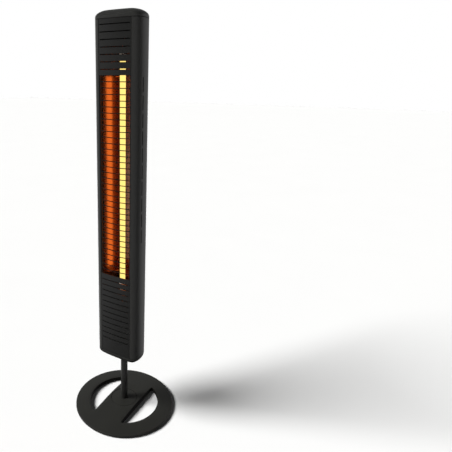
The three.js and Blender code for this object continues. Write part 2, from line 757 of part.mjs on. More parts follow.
function controlBox() {
  const { x, front, back, bottom, top, wall } = BOX;
  const shell = prism(roundedRectangle(2 * x, back - front, 4, 2, 0, (front + back) / 2), bottom, top);
  const inside = block(-x + wall, x - wall, front - 1, back - wall, bottom + wall, top - wall);
  const ears = block(-RIB_X - 2, RIB_X + 2, back - 2, back, bottom + 20, bottom + 60);
  const posts = [-34, 34].flatMap((px) =>
    [bottom + 12, top - 12].map((pz) =>
      facingBack(disc(3, BOARD_Y + GAP, back - 1, 8), px, 0, pz),
    ),
  );
  const entry = disc(3.5, -3, 3, 10);
  const below = [-24, 24].map((ex) => entry.translate([ex, 8, bottom]));
  return cut(join(cut(join(shell, ears), inside), ...posts), ...below, entry.translate([-6, 4, top]));
}

function controlBoard() {
  const { x, bottom, top } = BOX;
  const y = BOARD_Y - 1.6;
  const board = block(-x + 5, x - 5, y, BOARD_Y, bottom + 6, top - 6);
  const relay = block(-30, -8, y - 15, y + 0.5, bottom + 40, bottom + 66);
  const coil = disc(9, 0, 14, 12).rotate([90, 0, 0]).translate([14, y + 0.5, bottom + 54]);
  const fins = [0, 1, 2, 3, 4].map((i) => bottom + 14 + 4 * i);
  const heatSink = join(
    block(-30, 30, y - 3, y + 0.5, bottom + 12, bottom + 34),
    ...fins.map((z) => block(-30, 30, y - 12, y - 0.5, z, z + 1.4)),
  );
  return join(board, relay, coil, heatSink);
}

function controlLid() {
  const { x, front, bottom, top } = BOX;
  const y = front - GAP;
  const lid = block(-x, x, y - 2, y, bottom, top);
  const slits = [0, 1, 2, 3, 4].map((i) =>
    block(-26, 26, y - 3, y + 1, bottom + 30 + 8 * i, bottom + 32.5 + 8 * i),
  );
  return cut(lid, ...slits);
}

// Screw terminals on the socket's base plate, right of the mast.
const TERMINALS = { x: 35.5, y: -1, pitch: 11 };

function terminalBlock() {
  const [x0, y0, z0] = [TERMINALS.x, TERMINALS.y, SOCKET_TOP + GAP];
  const poles = 3;
  const { pitch } = TERMINALS;
  const base = block(x0, x0 + poles * pitch, y0, y0 + 17, z0, z0 + 8);
  const towers = Array.from({ length: poles }, (_, i) =>
    block(x0 + i * pitch + 1, x0 + (i + 1) * pitch - 1, y0 + 3, y0 + 14, z0 + 7, z0 + 17),
  );
  const bores = Array.from({ length: poles }, (_, i) => {
    const x = x0 + (i + 0.5) * pitch;
    const wireWay = disc(2.4, -1, 20, 8).rotate([-90, 0, 0]).translate([x, y0, z0 + 5]);
    const screwWay = disc(2.8, z0 + 9, z0 + 18, 8).translate([x, y0 + 8.5, 0]);
    return join(wireWay, screwWay);
  });
  return cut(join(base, ...towers), ...bores);
}

// A sealed ball switch on its bracket: it opens when the tower leans.
function tiltSwitch() {
  const [x, y, z] = [-52, -2, SOCKET_TOP + 9];
  const foot = SOCKET_TOP + GAP;
  const can = turned([[0, 0], [9, 0], [9, 20], [6, 24], [0, 24]], 16).translate([x, y, z]);
  const strap = block(x - 13, x + 13, y + 8, y + 10, foot, z + 28);
  const base = block(x - 13, x + 13, y - 6, y + 9, foot, foot + 2);
  const legs = [-3, 3].map((dx) => disc(0.8, -5, 1, 6).translate([x + dx, y, z]));
  return join(can, strap, base, ...legs);
}

// Insulated leads: one up the back to the top of the lamp, a short one from its lower end.
function lead(points) {
  const route = new THREE.CatmullRomCurve3(points, false, "centripetal");
  route.getUtoTmapping = (u) => u; // as many steps in a short bend as in a long straight
  return bar(route, 3, 6, 2 * (points.length - 1));
}

const TOP_END = LAMP_TOP + 27 + GAP;
const LOW_END = LAMP_BOTTOM - 27 - GAP;
const LEAD_Y = RIB_Y + 7;

const longLead = () =>
  lead([
    V3(0, LAMP_Y, TOP_END),
    V3(0, LAMP_Y, TOP_END + 14),
    V3(8, 6, TOP_END + 38),
    V3(14, LEAD_Y, TOP_END + 16),
    V3(14, LEAD_Y, 1300),
    V3(14, LEAD_Y, 560),
    V3(30, LEAD_Y, 460),
    V3(TERMINALS.x + 5.5, LEAD_Y, 360),
    V3(TERMINALS.x + 5.5, 27, 300),
    V3(TERMINALS.x + 5.5, 22.5, 281),
    V3(TERMINALS.x + 5.5, 17.5, SOCKET_TOP + GAP + 5),
    V3(TERMINALS.x + 5.5, 11, SOCKET_TOP + GAP + 5),
  ]);

const shortLead = () =>
  lead([
    V3(0, LAMP_Y, LOW_END),
    V3(0, LAMP_Y, LOW_END - 6),
    V3(-5, -1, BOX.top + 6),
    V3(-6, 4, BOX.top),
    V3(-6, 4, BOX.top - 5),
  ]);

// ---------------------------------------------------------------- assembly

piece("foot_plate", footPlate(), CAST_COAT);
PADS.forEach(([x, y], i) => piece(`rubber_pad_${i + 1}`, rubberPad(x, y), RUBBER));
piece("mast_flange", mastFlange(), BLACK_COAT);
BOLTS.forEach(([x, y], i) => piece(`foot_bolt_${i + 1}`, footBolt(x, y), STEEL));
piece("mast", mast(), BLACK_COAT);

piece("housing", housing(), BLACK_COAT);
piece("top_cap", topCap(), BLACK_COAT);
piece("bottom_cap", bottomCap(), BLACK_COAT);
piece("top_gasket", gasket(SHELL_TOP + GAP), RUBBER);
piece("bottom_gasket", gasket(SHELL_BOTTOM - GAP - GASKET), RUBBER);
SCREW_PLACES.forEach(([x, z], i) => piece(`cap_screw_${i + 1}`, capScrew(x, z), STEEL));

const topSlots = slotHeights(TOP_SLOT_FIRST, TOP_SLOT_PITCH, TOP_SLOTS);
const lowSlots = slotHeights(LOW_SLOT_FIRST, LOW_SLOT_PITCH, LOW_SLOTS);
piece("upper_plate", slottedPlate(WINDOW_TOP, SHELL_TOP - GAP, topSlots), DARK_COAT);
piece("lower_plate", slottedPlate(SHELL_BOTTOM + GAP, WINDOW_BOTTOM, lowSlots), DARK_COAT);
piece("wire_guard", wireGuard(), DARK_COAT);

piece("reflector", reflector(), MIRROR);
piece("reflector_end_top", troughEnd(WINDOW_TOP - 5), MIRROR);
piece("reflector_end_bottom", troughEnd(WINDOW_BOTTOM + 4), MIRROR);
piece("lamp_tube", lampTube(), QUARTZ);
piece("carbon_ribbon", carbonRibbon(), CARBON);
piece("lamp_end_top", lampEnd().translate([0, LAMP_Y, LAMP_TOP]), CERAMIC);
piece("lamp_end_bottom", lampEnd().rotate([180, 0, 0]).translate([0, LAMP_Y, LAMP_BOTTOM]), CERAMIC);
piece("lamp_holder_top", lampHolder().translate([0, LAMP_Y, LAMP_TOP + 13]), STEEL);
piece(
  "lamp_holder_bottom",
  lampHolder().rotate([0, 180, 0]).translate([0, LAMP_Y, LAMP_BOTTOM - 13]),
  STEEL,
);
piece("heat_shield", heatShield(), STEEL);

piece("mast_socket", mastSocket(), STEEL);
SOCKET_BOLTS.forEach(([x, y], i) => piece(`socket_bolt_${i + 1}`, socketBolt(x, y), STEEL));
CLAMP_HEIGHTS.forEach((z, i) => piece(`clamp_screw_${i + 1}`, clampScrew(z), STEEL));

piece("control_box", controlBox(), PLASTIC);
piece("control_board", controlBoard(), GREY_PLASTIC);
piece("control_lid", controlLid(), PLASTIC);
piece("terminal_block", terminalBlock(), GREY_PLASTIC);
piece("tilt_switch", tiltSwitch(), GREY_PLASTIC);
piece("lead_long", longLead(), SILICONE);
piece("lead_short", shortLead(), SILICONE);
piece("cable_gland", glandBody(), PLASTIC);
piece("gland_nut", glandNut(), PLASTIC);
piece("switch_body", switchBody(), PLASTIC);

// The rocker rests with its upper end pressed in, at one stop of its throw.
const rockerPivot = new THREE.Group();
rockerPivot.position.set(0, PIVOT_Y, SWITCH_Z);
rockerPivot.rotation.x = rad(ROCKER_HALF_THROW);
piece("power_rocker", rocker(), PLASTIC, rockerPivot);
heater.add(rockerPivot);

export default heater;
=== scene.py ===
# %% [markdown]
# # An infrared patio heater tower
# A slim black tower stands on a mast and a round cast foot. Behind a bowed wire guard a lit
# lamp runs down a mirror trough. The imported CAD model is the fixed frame: its pieces say where
# everything is, and this script dresses them with finer meshes, finishes and light.

# %% The frame
import json
import math

import bpy
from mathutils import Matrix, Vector


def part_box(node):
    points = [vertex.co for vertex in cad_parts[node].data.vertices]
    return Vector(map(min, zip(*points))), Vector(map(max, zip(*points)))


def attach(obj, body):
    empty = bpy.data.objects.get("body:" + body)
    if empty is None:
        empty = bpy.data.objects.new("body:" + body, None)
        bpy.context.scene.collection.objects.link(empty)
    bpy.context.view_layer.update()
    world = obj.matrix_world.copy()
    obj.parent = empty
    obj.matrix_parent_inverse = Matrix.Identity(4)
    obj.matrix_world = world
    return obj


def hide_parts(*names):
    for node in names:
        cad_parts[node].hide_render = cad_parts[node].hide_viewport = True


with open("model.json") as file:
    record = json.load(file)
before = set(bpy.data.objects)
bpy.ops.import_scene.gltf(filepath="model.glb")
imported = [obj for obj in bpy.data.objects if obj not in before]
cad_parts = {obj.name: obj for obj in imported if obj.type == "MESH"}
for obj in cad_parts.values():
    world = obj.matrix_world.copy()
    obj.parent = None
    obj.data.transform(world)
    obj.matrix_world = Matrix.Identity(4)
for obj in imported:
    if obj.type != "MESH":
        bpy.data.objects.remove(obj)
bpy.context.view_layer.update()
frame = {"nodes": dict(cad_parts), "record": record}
MM = 0.001
GAP = 0.3 * MM  # clearance between pieces that sit against each other
print("CAD nodes:", len(frame["nodes"]))

# %% [markdown]
# ## The camera
# The picture was taken from the front right and then cropped. The render could be cropped too,
# but a shifted lens gives the same view at full size. The camera stands a little below the top
# of the tower and looks slightly down.

# %% Camera
CAMERA_PLACE = (0.8469, -1.3328, 1.2949)
CAMERA_PITCH = math.radians(15.54)
CAMERA_YAW = math.radians(32.97)
LENS_MM = 36.15
SENSOR_MM = 36.0
LENS_SHIFT = (0.2332, -0.0534)

camera_data = bpy.data.cameras.new("photo_camera")
camera_data.lens = LENS_MM
camera_data.sensor_width = SENSOR_MM
camera_data.shift_x, camera_data.shift_y = LENS_SHIFT
camera = bpy.data.objects.new("photo_camera", camera_data)
camera.location = CAMERA_PLACE
camera.rotation_euler = (math.pi / 2 - CAMERA_PITCH, 0, CAMERA_YAW)
bpy.context.scene.collection.objects.link(camera)
bpy.context.scene.camera = camera
print("camera height", round(camera.location.z, 3), "m")

# %% [markdown]
# ## Colour and nodes
# A colour picked from a picture is in sRGB, while Blender's shaders work in linear light, so one
# function turns a hex value to linear. Another adds a node with its settings and its links.


# %% Helpers for materials
def linear(hex_colour):
    """An sRGB hex colour as linear red, green, blue and alpha."""
    channels = [int(hex_colour[i : i + 2], 16) / 255 for i in (1, 3, 5)]
    return tuple(c / 12.92 if c <= 0.04045 else ((c + 0.055) / 1.055) ** 2.4 for c in channels) + (1.0,)


def add(tree, kind, values=None, links=None, **settings):
    """Add one node, with its settings, its socket values and the sockets that feed it."""
    new = tree.nodes.new(kind)
    for name, value in settings.items():
        setattr(new, name, value)
    for socket, value in (values or {}).items():
        new.inputs[socket].default_value = value
    for socket, source in (links or {}).items():
        tree.links.new(source, new.inputs[socket])
    return new


def material_tree(name):
    """A new material, its empty node tree, and a coordinate in metres to hang patterns on."""
    material = bpy.data.materials.new(name)
    material.use_nodes = True
    tree = material.node_tree
    tree.nodes.clear()
    return material, tree, add(tree, "ShaderNodeTexCoord").outputs["Object"]


def finished(material, tree, surface):
    """Join a shader to the material's output and give the material back."""
    add(tree, "ShaderNodeOutputMaterial", links={"Surface": surface})
    return material


print("an sRGB mid grey is", round(linear("#808080")[0], 3), "in linear light")

# %% [markdown]
# ## Paint, rubber, plastic and steel
# Most of the heater is powder coated: a dry paint melted on in an oven, which gives an even
# satin black with a faint orange peel. One flat colour would look like plastic foil, so slow
# noise lets the tone drift, and a fine grain moves both the roughness and the relief. Rubber,
# plastic, plated steel and ceramic differ only in their numbers, so one function makes them all.


# %% A grained finish
DRIFT = 90 * MM  # how far apart the slow swings of a tone lie
ROUGHNESS_SWING = 0.05
BUMP_STRENGTH = 0.35


def coated(name, colour, other, grain_mm, roughness, bump_mm, **shader):
    """A finish whose tone wanders between two colours over a fine grain."""
    material, tree, place = material_tree(name)
    drift = add(tree, "ShaderNodeTexNoise", {"Scale": 1 / DRIFT, "Detail": 2.0}, {"Vector": place})
    grain = add(
        tree,
        "ShaderNodeTexNoise",
        {"Scale": 1 / (grain_mm * MM), "Detail": 3.0},
        {"Vector": place},
    )
    tone = add(
        tree,
        "ShaderNodeMixRGB",
        {"Color1": linear(colour), "Color2": linear(other)},
        {"Fac": drift.outputs["Fac"]},
    )
    rough = add(
        tree,
        "ShaderNodeMapRange",
        {"To Min": roughness - ROUGHNESS_SWING, "To Max": roughness + ROUGHNESS_SWING},
        {"Value": grain.outputs["Fac"]},
    )
    relief = add(
        tree,
        "ShaderNodeBump",
        {"Strength": BUMP_STRENGTH, "Distance": bump_mm * MM},
        {"Height": grain.outputs["Fac"]},
    )
    skin = add(
        tree,
        "ShaderNodeBsdfPrincipled",
        shader,
        {
            "Base Color": tone.outputs["Color"],
            "Roughness": rough.outputs["Result"],
            "Normal": relief.outputs["Normal"],
        },
    )
    return finished(material, tree, skin.outputs["BSDF"])


# A dull skin throws back less of the room than a glossy one.
MATT = {"Specular IOR Level": 0.3}
DULL = {"Specular IOR Level": 0.1}
# Satin black powder coat on the tower's extrusion and its cast caps.
powder_coat = coated("satin_powder_coat", "#222221", "#262624", 1.6, 0.33, 0.015)
# The same paint on stamped sheet and wire, laid a little thinner.
sheet_coat = coated("powder_coat_on_sheet", "#141413", "#171716", 1.4, 0.33, 0.015)
# The same paint over sand-cast iron, whose skin is coarser and duller.
cast_coat = coated("powder_coat_on_cast_iron", "#242422", "#292926", 2.4, 0.5, 0.05, **MATT)
# Painted shade: the walls of the foot's cut-outs get a darker, duller coat for the shadow that falls
# into these recesses.
cutout_shade_coat = coated("painted_shade_in_cutouts", "#131312", "#161614", 2.4, 0.7, 0.05, **DULL)
# Heat-proof matt black on the guard, which the lamp keeps hot.
stove_black = coated("heatproof_stove_black", "#0e0d0d", "#141212", 1.0, 0.55, 0.01, **MATT)
# Moulded rubber of the seals and feet.
moulded_rubber = coated("moulded_rubber", "#0c0c0c", "#111110", 1.0, 0.8, 0.03)
# Moulded plastic of the switch, the gland and the box inside.
black_plastic = coated("moulded_black_plastic", "#161616", "#1b1b1b", 0.8, 0.45, 0.02)
# Light moulded plastic of terminals and the like.
grey_plastic = coated("moulded_grey_plastic", "#b4b4b0", "#bcbcb8", 0.8, 0.5, 0.02)
# Zinc plated steel of screws, shield and socket.
zinc_steel = coated("zinc_plated_steel", "#9a9a96", "#a8a8a2", 0.6, 0.34, 0.01, Metallic=1.0)
# Steel that has stood behind the trough for years: brown scale, hardly metallic any more.
scaled_steel = coated("heat_scaled_steel", "#3a302a", "#4a3d34", 4.0, 0.6, 0.02, Metallic=0.4)
# Unglazed ceramic ends of the lamp.
white_ceramic = coated("unglazed_ceramic", "#e2ddd0", "#ebe6da", 0.7, 0.65, 0.03)
# Silicone sleeve of the leads inside.
silicone = coated("silicone_sleeve", "#86301f", "#93382a", 0.8, 0.55, 0.02)
print("grained finishes: 12")

# %% [markdown]
# ## Mirror and light
# The trough is rolled aluminium under a heat-proof bronze varnish. It throws the lamp forward as
# a dim, soft-edged copy, and the varnish itself takes up a dark red glow. A metal alone would
# show only the copy, so a metal and a diffuse shader are mixed. Rolling leaves fine lines along
# the sheet, drawn by squeezing a noise in two directions.

# %% Mirror sheet
ROLLED_LINE = 1.5 * MM  # spacing of the rolled lines, drawn coarser than they are
ROLLED_LENGTH = 60 * MM
SMOOTHEST, ROUGHEST = 0.15, 0.21
VARNISH_SHARE = 0.22


def rolled_mirror():
    """Varnished rolled sheet with fine lines along the trough."""
    material, tree, place = material_tree("rolled_bronze_mirror")
    squeeze = (1 / ROLLED_LINE, 1 / ROLLED_LINE, 1 / ROLLED_LENGTH)
    stretch = add(tree, "ShaderNodeMapping", {"Scale": squeeze}, {"Vector": place})
    lines = add(
        tree, "ShaderNodeTexNoise", {"Scale": 1.0, "Detail": 2.0}, {"Vector": stretch.outputs["Vector"]}
    )
    rough = add(
        tree,
        "ShaderNodeMapRange",
        {"To Min": SMOOTHEST, "To Max": ROUGHEST},
        {"Value": lines.outputs["Fac"]},
    )
    metal = add(
        tree,
        "ShaderNodeBsdfPrincipled",
        {"Base Color": linear("#7a6a55"), "Metallic": 1.0},
        {"Roughness": rough.outputs["Result"]},
    )
    varnish = add(tree, "ShaderNodeBsdfDiffuse", {"Color": linear("#6c2f1c")})
    skin = add(
        tree,
        "ShaderNodeMixShader",
        {"Fac": VARNISH_SHARE},
        {1: metal.outputs["BSDF"], 2: varnish.outputs["BSDF"]},
    )
    return finished(material, tree, skin.outputs["Shader"])


mirror = rolled_mirror()
print("mirror:", mirror.name)

# %% [markdown]
# The lamp is a carbon ribbon at about 1200 degrees in a quartz tube. It shines orange on all
# around it, but a picture that shows the black coat well is too slow for it, so where the camera
# looks straight at it, it clips to yellow. Light Path tells the two apart. The woven ribbon
# glows unevenly by a few parts in a hundred.

# %% Lamp light
LAMP_GLOW = (1.0, 0.24, 0.048, 1.0)
LAMP_SEEN = (1.0, 0.76, 0.21, 1.0)
SEEN_STRENGTH = 1.25
RIBBON_WEAVE = 3 * MM  # coarser than the real weave, which would not show
UNEVEN = 0.06


def glowing(name, strength):
    """A surface that gives uneven orange light and looks yellow."""
    material, tree, place = material_tree(name)
    weave = add(
        tree, "ShaderNodeTexNoise", {"Scale": 1 / RIBBON_WEAVE, "Detail": 1.0}, {"Vector": place}
    )
    given = add(
        tree,
        "ShaderNodeMapRange",
        {"To Min": strength * (1 - UNEVEN), "To Max": strength * (1 + UNEVEN)},
        {"Value": weave.outputs["Fac"]},
    )
    orange = add(
        tree,
        "ShaderNodeEmission",
        {"Color": LAMP_GLOW},
        {"Strength": given.outputs["Result"]},
    )
    yellow = add(tree, "ShaderNodeEmission", {"Color": LAMP_SEEN, "Strength": SEEN_STRENGTH})
    eye = add(tree, "ShaderNodeLightPath")
    glow = add(
        tree,
        "ShaderNodeMixShader",
        links={
            "Fac": eye.outputs["Is Camera Ray"],
            1: orange.outputs["Emission"],
            2: yellow.outputs["Emission"],
        },
    )
    return finished(material, tree, glow.outputs["Shader"])


lit_quartz = glowing("lit_quartz_tube", 5.0)
lit_carbon = glowing("glowing_carbon_ribbon", 8.0)
print("lamp finishes: 2")

# %% [markdown]
# ## Dressing the frame
# The record names a material slot for every CAD node. Each node first gets its slot's finish,
# so that nothing inside stays bare. The heat shield has gone brown in the heat, so it gets a
# finish of its own. The pieces that show are replaced by finer ones further on.

# %% Finishes on the CAD nodes
FINISH_OF_SLOT = {
    "cast_coat": cast_coat,
    "black_coat": powder_coat,
    "dark_coat": sheet_coat,
    "mirror_sheet": mirror,
    "steel": zinc_steel,
    "rubber": moulded_rubber,
    "ceramic": white_ceramic,
    "black_plastic": black_plastic,
    "grey_plastic": grey_plastic,
    "lead_sleeve": silicone,
    "quartz": lit_quartz,
    "carbon": lit_carbon,
}
SLOT_OF_NODE = {part["node"]: part["material_slot"] for part in frame["record"]["subparts"]}
for name, node in frame["nodes"].items():
    node.data.materials.clear()
    node.data.materials.append(FINISH_OF_SLOT[SLOT_OF_NODE[name]])
frame["nodes"]["heat_shield"].data.materials[0] = scaled_steel
print("finishes given to", len(frame["nodes"]), "CAD nodes")

# %% [markdown]
# ## Making meshes
# Most pieces are an outline pushed along the tower or turned round an axis. A skin is smooth
# except where two faces meet at a real edge.


# %% Skins from rings
SMOOTH_DEGREES = 35


def arc(cx, cy, radius, start, end, steps):
    """Points on an arc, both ends included, angles in radians."""
    angles = [start + (end - start) * i / steps for i in range(steps + 1)]
    return [(cx + radius * math.cos(a), cy + radius * math.sin(a)) for a in angles]


def mesh_object(name, points, faces, smooth_degrees=SMOOTH_DEGREES):
    """A mesh object with smooth shading across all but its sharp edges."""
    mesh = bpy.data.meshes.new(name)
    mesh.from_pydata([tuple(p) for p in points], [], faces)
    mesh.validate()
    mesh.shade_smooth()
    mesh.set_sharp_from_angle(angle=math.radians(smooth_degrees))
    made = bpy.data.objects.new(name, mesh)
    bpy.context.scene.collection.objects.link(made)
    return made


def lofted(name, rings, closed=False):
    """A skin through rings of 3-D points; its ends are closed unless the rings join up."""
    count = len(rings[0])
    points = [p for ring in rings for p in ring]
    faces = []
    for level in range(len(rings) if closed else len(rings) - 1):
        low, high = level * count, ((level + 1) % len(rings)) * count
        for i in range(count):
            j = (i + 1) % count
            faces.append((low + i, low + j, high + j, high + i))
    if not closed:
        faces.append(tuple(reversed(range(count))))
        faces.append(tuple(range(len(points) - count, len(points))))
    return mesh_object(name, points, faces)


def pushed(name, outline, z0, z1):
    """An anticlockwise outline in X and Y pushed up from z0 to z1."""
    return lofted(name, [[(x, y, z) for x, y in outline] for z in (z0, z1)])


def turned(name, profile, steps=96, centre=(0.0, 0.0)):
    """A profile of (radius, height) turned about Z; a profile off the axis makes a ring."""
    loop = [p for p in profile if p[0] > 0.0]
    rings = []
    for i in range(steps):
        c, s = math.cos(2 * math.pi * i / steps), math.sin(2 * math.pi * i / steps)
        rings.append([(centre[0] + r * c, centre[1] + r * s, z) for r, z in loop])
    if len(loop) == len(profile):
        return lofted(name, rings, closed=True)
    count = len(loop)
    faces = []
    for i in range(steps):
        near, far = i * count, (i + 1) % steps * count
        faces += [(near + k, far + k, far + k + 1, near + k + 1) for k in range(count - 1)]
    faces.append(tuple(i * count + count - 1 for i in range(steps)))
    faces.append(tuple(i * count for i in reversed(range(steps))))
    return mesh_object(name, [p for ring in rings for p in ring], faces)


print("a quarter arc of 4 steps has", len(arc(0, 0, 1, 0, math.pi / 2, 4)), "points")

# %% [markdown]
# Holes are cut and bodies welded with booleans, since the cutters can then have the real hole's
# outline, and an edge that a cutter leaves can be softened by a bevel. A finished piece takes
# its material, the body that it moves with, and the CAD nodes that it stands for.


# %% Cutting and placing
def applied(target):
    """Bake a piece's modifiers into its mesh."""
    evaluated = target.evaluated_get(bpy.context.evaluated_depsgraph_get())
    mesh = bpy.data.meshes.new_from_object(evaluated)
    target.modifiers.clear()
    target.data = mesh
    mesh.shade_smooth()
    mesh.set_sharp_from_angle(angle=math.radians(SMOOTH_DEGREES))
    return target


def bevelled(target, width_mm, segments=2, limit_degrees=50):
    """Round a piece's sharp edges."""
    bevel = target.modifiers.new("edge", "BEVEL")
    bevel.width = width_mm * MM
    bevel.segments = segments
    bevel.angle_limit = math.radians(limit_degrees)
    return applied(target)


def cut(target, cutters):
    """Take cutters away from a piece."""
    holder = bpy.data.collections.new("cutters")
    for cutter in cutters:
        bpy.context.scene.collection.objects.unlink(cutter)
        holder.objects.link(cutter)
    bpy.context.scene.collection.children.link(holder)
    boolean = target.modifiers.new("cut", "BOOLEAN")
    boolean.operand_type = "COLLECTION"
    boolean.collection = holder
    boolean.solver = "EXACT"
    applied(target)
    for cutter in cutters:
        bpy.data.objects.remove(cutter)
    bpy.data.collections.remove(holder)
    return target


def joined(target, others):
    """Weld other bodies into a piece."""
    for other in others:
        boolean = target.modifiers.new("join", "BOOLEAN")
        boolean.operation = "UNION"
        boolean.object = other
        applied(target)
        bpy.data.objects.remove(other)
    return target


def placed(piece, material, *nodes, body="tower"):
    """Give a piece its finish, the body that it moves with and the CAD nodes it stands for."""
    piece.data.materials.clear()
    piece.data.materials.append(material)
    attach(piece, body)
    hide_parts(*nodes)
    return piece


def middle(node):
    """The middle of a CAD node's box."""
    low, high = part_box(node)
    return tuple((a + b) / 2 for a, b in zip(low, high))


print("the switch sits at", [round(v / MM, 1) for v in middle("switch_body")], "mm")

# %% [markdown]
# ## The tower's section
# The shell is an extrusion. Its outline could be a drawn curve, but arcs have radii that can be
# measured and offset exactly, so it is a chain of arcs that run into each other: a barely
# curved front, tight front corners, bulging sides, soft rear corners and a nearly flat back. In
# such a chain each arc starts on the heading where the last one ends, and its centre lies on
# the line through that point. The same outline, scaled ring by ring, makes the rounded caps.

# %% Section
FRONT = 65.7 * MM
CROWN_REACH = 66 * MM
FRONT_CROWN = 700 * MM
FRONT_CORNER = 22.5 * MM
SIDE = 84 * MM
SIDE_START, SIDE_END = math.radians(72), math.radians(128)
REAR_CORNER = 40 * MM
REAR_CROWN = 500 * MM


def section_arcs():
    """Centre, radius, first and last heading of each arc of the right half, front to back."""
    crown_end = math.asin(CROWN_REACH / FRONT_CROWN)
    chain = [(0.0, FRONT_CROWN - FRONT, FRONT_CROWN, 0.0, crown_end)]
    turns = (
        (FRONT_CORNER, SIDE_START),
        (SIDE, SIDE_END),
        (REAR_CORNER, None),
        (REAR_CROWN, math.pi),
    )
    for radius, end in turns:
        x, y, before, _, start = chain[-1]
        x += (before - radius) * math.sin(start)
        y -= (before - radius) * math.cos(start)
        if end is None:
            end = math.pi - math.asin(x / (REAR_CROWN - REAR_CORNER))
        chain.append((x, y, radius, start, end))
    return chain


ARCS = section_arcs()


def section_side(inset=0.0, steps=10):
    """The right half of the outline, from the middle of the front to the middle of the back."""
    quarter = math.pi / 2
    side = [(0.0, inset - FRONT)]
    for x, y, radius, start, end in ARCS:
        side += arc(x, y, radius - inset, start - quarter, end - quarter, steps)[1:]
    return side


def section(inset=0.0, steps=10):
    """The tower's whole outline, anticlockwise from the middle of the front."""
    right = section_side(inset, steps)
    return right + [(-x, y) for x, y in reversed(right[1:-1])]


def crowned_face(x):
    """How far forward the front face lies at x."""
    return ARCS[0][1] - math.sqrt(FRONT_CROWN**2 - x**2)


HALF_WIDTH = max(x for x, _ in section())
BACK = max(y for _, y in section())
print("section", round(2 * HALF_WIDTH / MM, 1), "mm wide,", round((BACK + FRONT) / MM, 1), "mm deep")

# %% [markdown]
# ## The shell
# At the front the extrusion is open. Each of its front edges turns in round a small lip and goes
# back to a ledge, which carries the plates and the guard. That leaves the fine dark seam that
# runs down both sides of the plates. Wall, lips and ledges are one outline, pushed up once, as
# the real one is pressed through a die.

# %% Shell
OPENING = 62.9 * MM
WALL = 2.2 * MM
LEDGE = 1.8 * MM  # thickness of the ledges
LEDGE_REACH = 5 * MM
LEDGE_DEPTH = 9 * MM
EDGE_Y = crowned_face(OPENING)
LEDGE_Y = EDGE_Y + LEDGE_DEPTH


def shell_outline():
    """The open section: outer skin, folded front edges with their ledges, inner skin."""
    lip = 1.1 * MM
    outer = [p for p in section_side(0.0, 12) if p[0] > OPENING + lip or p[1] > 0]
    inner = [p for p in section_side(WALL, 12) if p[0] > OPENING + LEDGE or p[1] > 0]
    fold = [
        (OPENING + LEDGE, LEDGE_Y + LEDGE),
        (OPENING - LEDGE_REACH, LEDGE_Y + LEDGE),
        (OPENING - LEDGE_REACH, LEDGE_Y),
        (OPENING, LEDGE_Y),
        *arc(OPENING + lip, EDGE_Y + lip, lip, math.pi, 1.5 * math.pi, 5),
    ]
    right = list(reversed(inner)) + fold + outer
    left = [(-x, y) for x, y in reversed(right[1:-1])]
    return right + left


SHELL_LOW, SHELL_HIGH = (corner[2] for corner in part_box("housing"))
shell = pushed("tower_shell", shell_outline(), SHELL_LOW, SHELL_HIGH)
print("shell", round((SHELL_HIGH - SHELL_LOW) / MM), "mm tall,", len(shell.data.vertices), "points")

# %% [markdown]
# A column of ten narrow vents runs down each side wall beside the lamp. One long cutter per
# vent goes through both walls, so that the two sides match. The back wall has a window for the
# switch and holes for the four screws that hold the caps.

# %% Vents and switch window
VENT_TOP = 1296 * MM
VENT_PITCH = 57.5 * MM
VENT_BRIDGE = 9 * MM
VENT_WIDTH = 4 * MM
VENT_Y = -30 * MM
VENTS = 10
WINDOW_HALF_WIDTH = 13.8 * MM
WINDOW_HALF_HEIGHT = 10.1 * MM
SCREW_WAY = 2.3 * MM
PAST = 5 * MM  # how far a cutter runs past the faces that it cuts


def round_ended(width, height, steps=8):
    """A slot's outline, round at both ends, longer along its first axis."""
    r = height / 2
    x = width / 2 - r
    half_turn = math.pi / 2
    return arc(x, 0, r, -half_turn, half_turn, steps) + arc(-x, 0, r, half_turn, 3 * half_turn, steps)


def vent_cutter(z):
    """A bar with a vent's outline that runs across the whole tower."""
    outline = round_ended(VENT_PITCH - VENT_BRIDGE, VENT_WIDTH)
    ends = (-HALF_WIDTH - PAST, HALF_WIDTH + PAST)
    return lofted("vent_cutter", [[(x, VENT_Y - b, z + a) for a, b in outline] for x in ends])


def block(name, low, high):
    """A rectangular body between two corners."""
    (x0, y0, z0), (x1, y1, z1) = low, high
    return pushed(name, [(x0, y0), (x1, y0), (x1, y1), (x0, y1)], z0, z1)


def rod(name, radius, low, high, steps, centre=(0.0, 0.0)):
    """A plain round body about Z."""
    return turned(name, [(0.0, low), (radius, low), (radius, high), (0.0, high)], steps, centre)


def facing_back(piece, x, y, z):
    """Turn a body made along +Z to point out of the heater's back, and put it there."""
    for vertex in piece.data.vertices:
        a, b, c = vertex.co
        vertex.co = (x - a, y + c, z + b)
    return piece


vents = [vent_cutter(VENT_TOP - VENT_PITCH * (i + 0.5)) for i in range(VENTS)]
SWITCH_Z = middle("switch_body")[2]
window = block(
    "window_cutter",
    (-WINDOW_HALF_WIDTH, BACK - 8 * MM, SWITCH_Z - WINDOW_HALF_HEIGHT),
    (WINDOW_HALF_WIDTH, BACK + 4 * MM, SWITCH_Z + WINDOW_HALF_HEIGHT),
)
screw_ways = []
for number in range(1, 5):
    way = rod("screw_cutter", SCREW_WAY, -9 * MM, 9 * MM, 24)
    screw_ways.append(facing_back(way, *middle(f"cap_screw_{number}")))
placed(cut(shell, [*vents, window, *screw_ways]), powder_coat, "housing")
print("vents cut:", 2 * len(vents))

# %% [markdown]
# ## The end caps and gaskets
# Each cap is a casting that carries on the shell's outline for a few millimetres and then rolls
# over to a flat end. A bevel would give it one radius all round, so the cap is built ring by
# ring instead. The roll follows a superellipse: with a power of 2 it would be a quarter
# ellipse, and a lower power makes it leaner. A rubber gasket shows as a thin dark line.

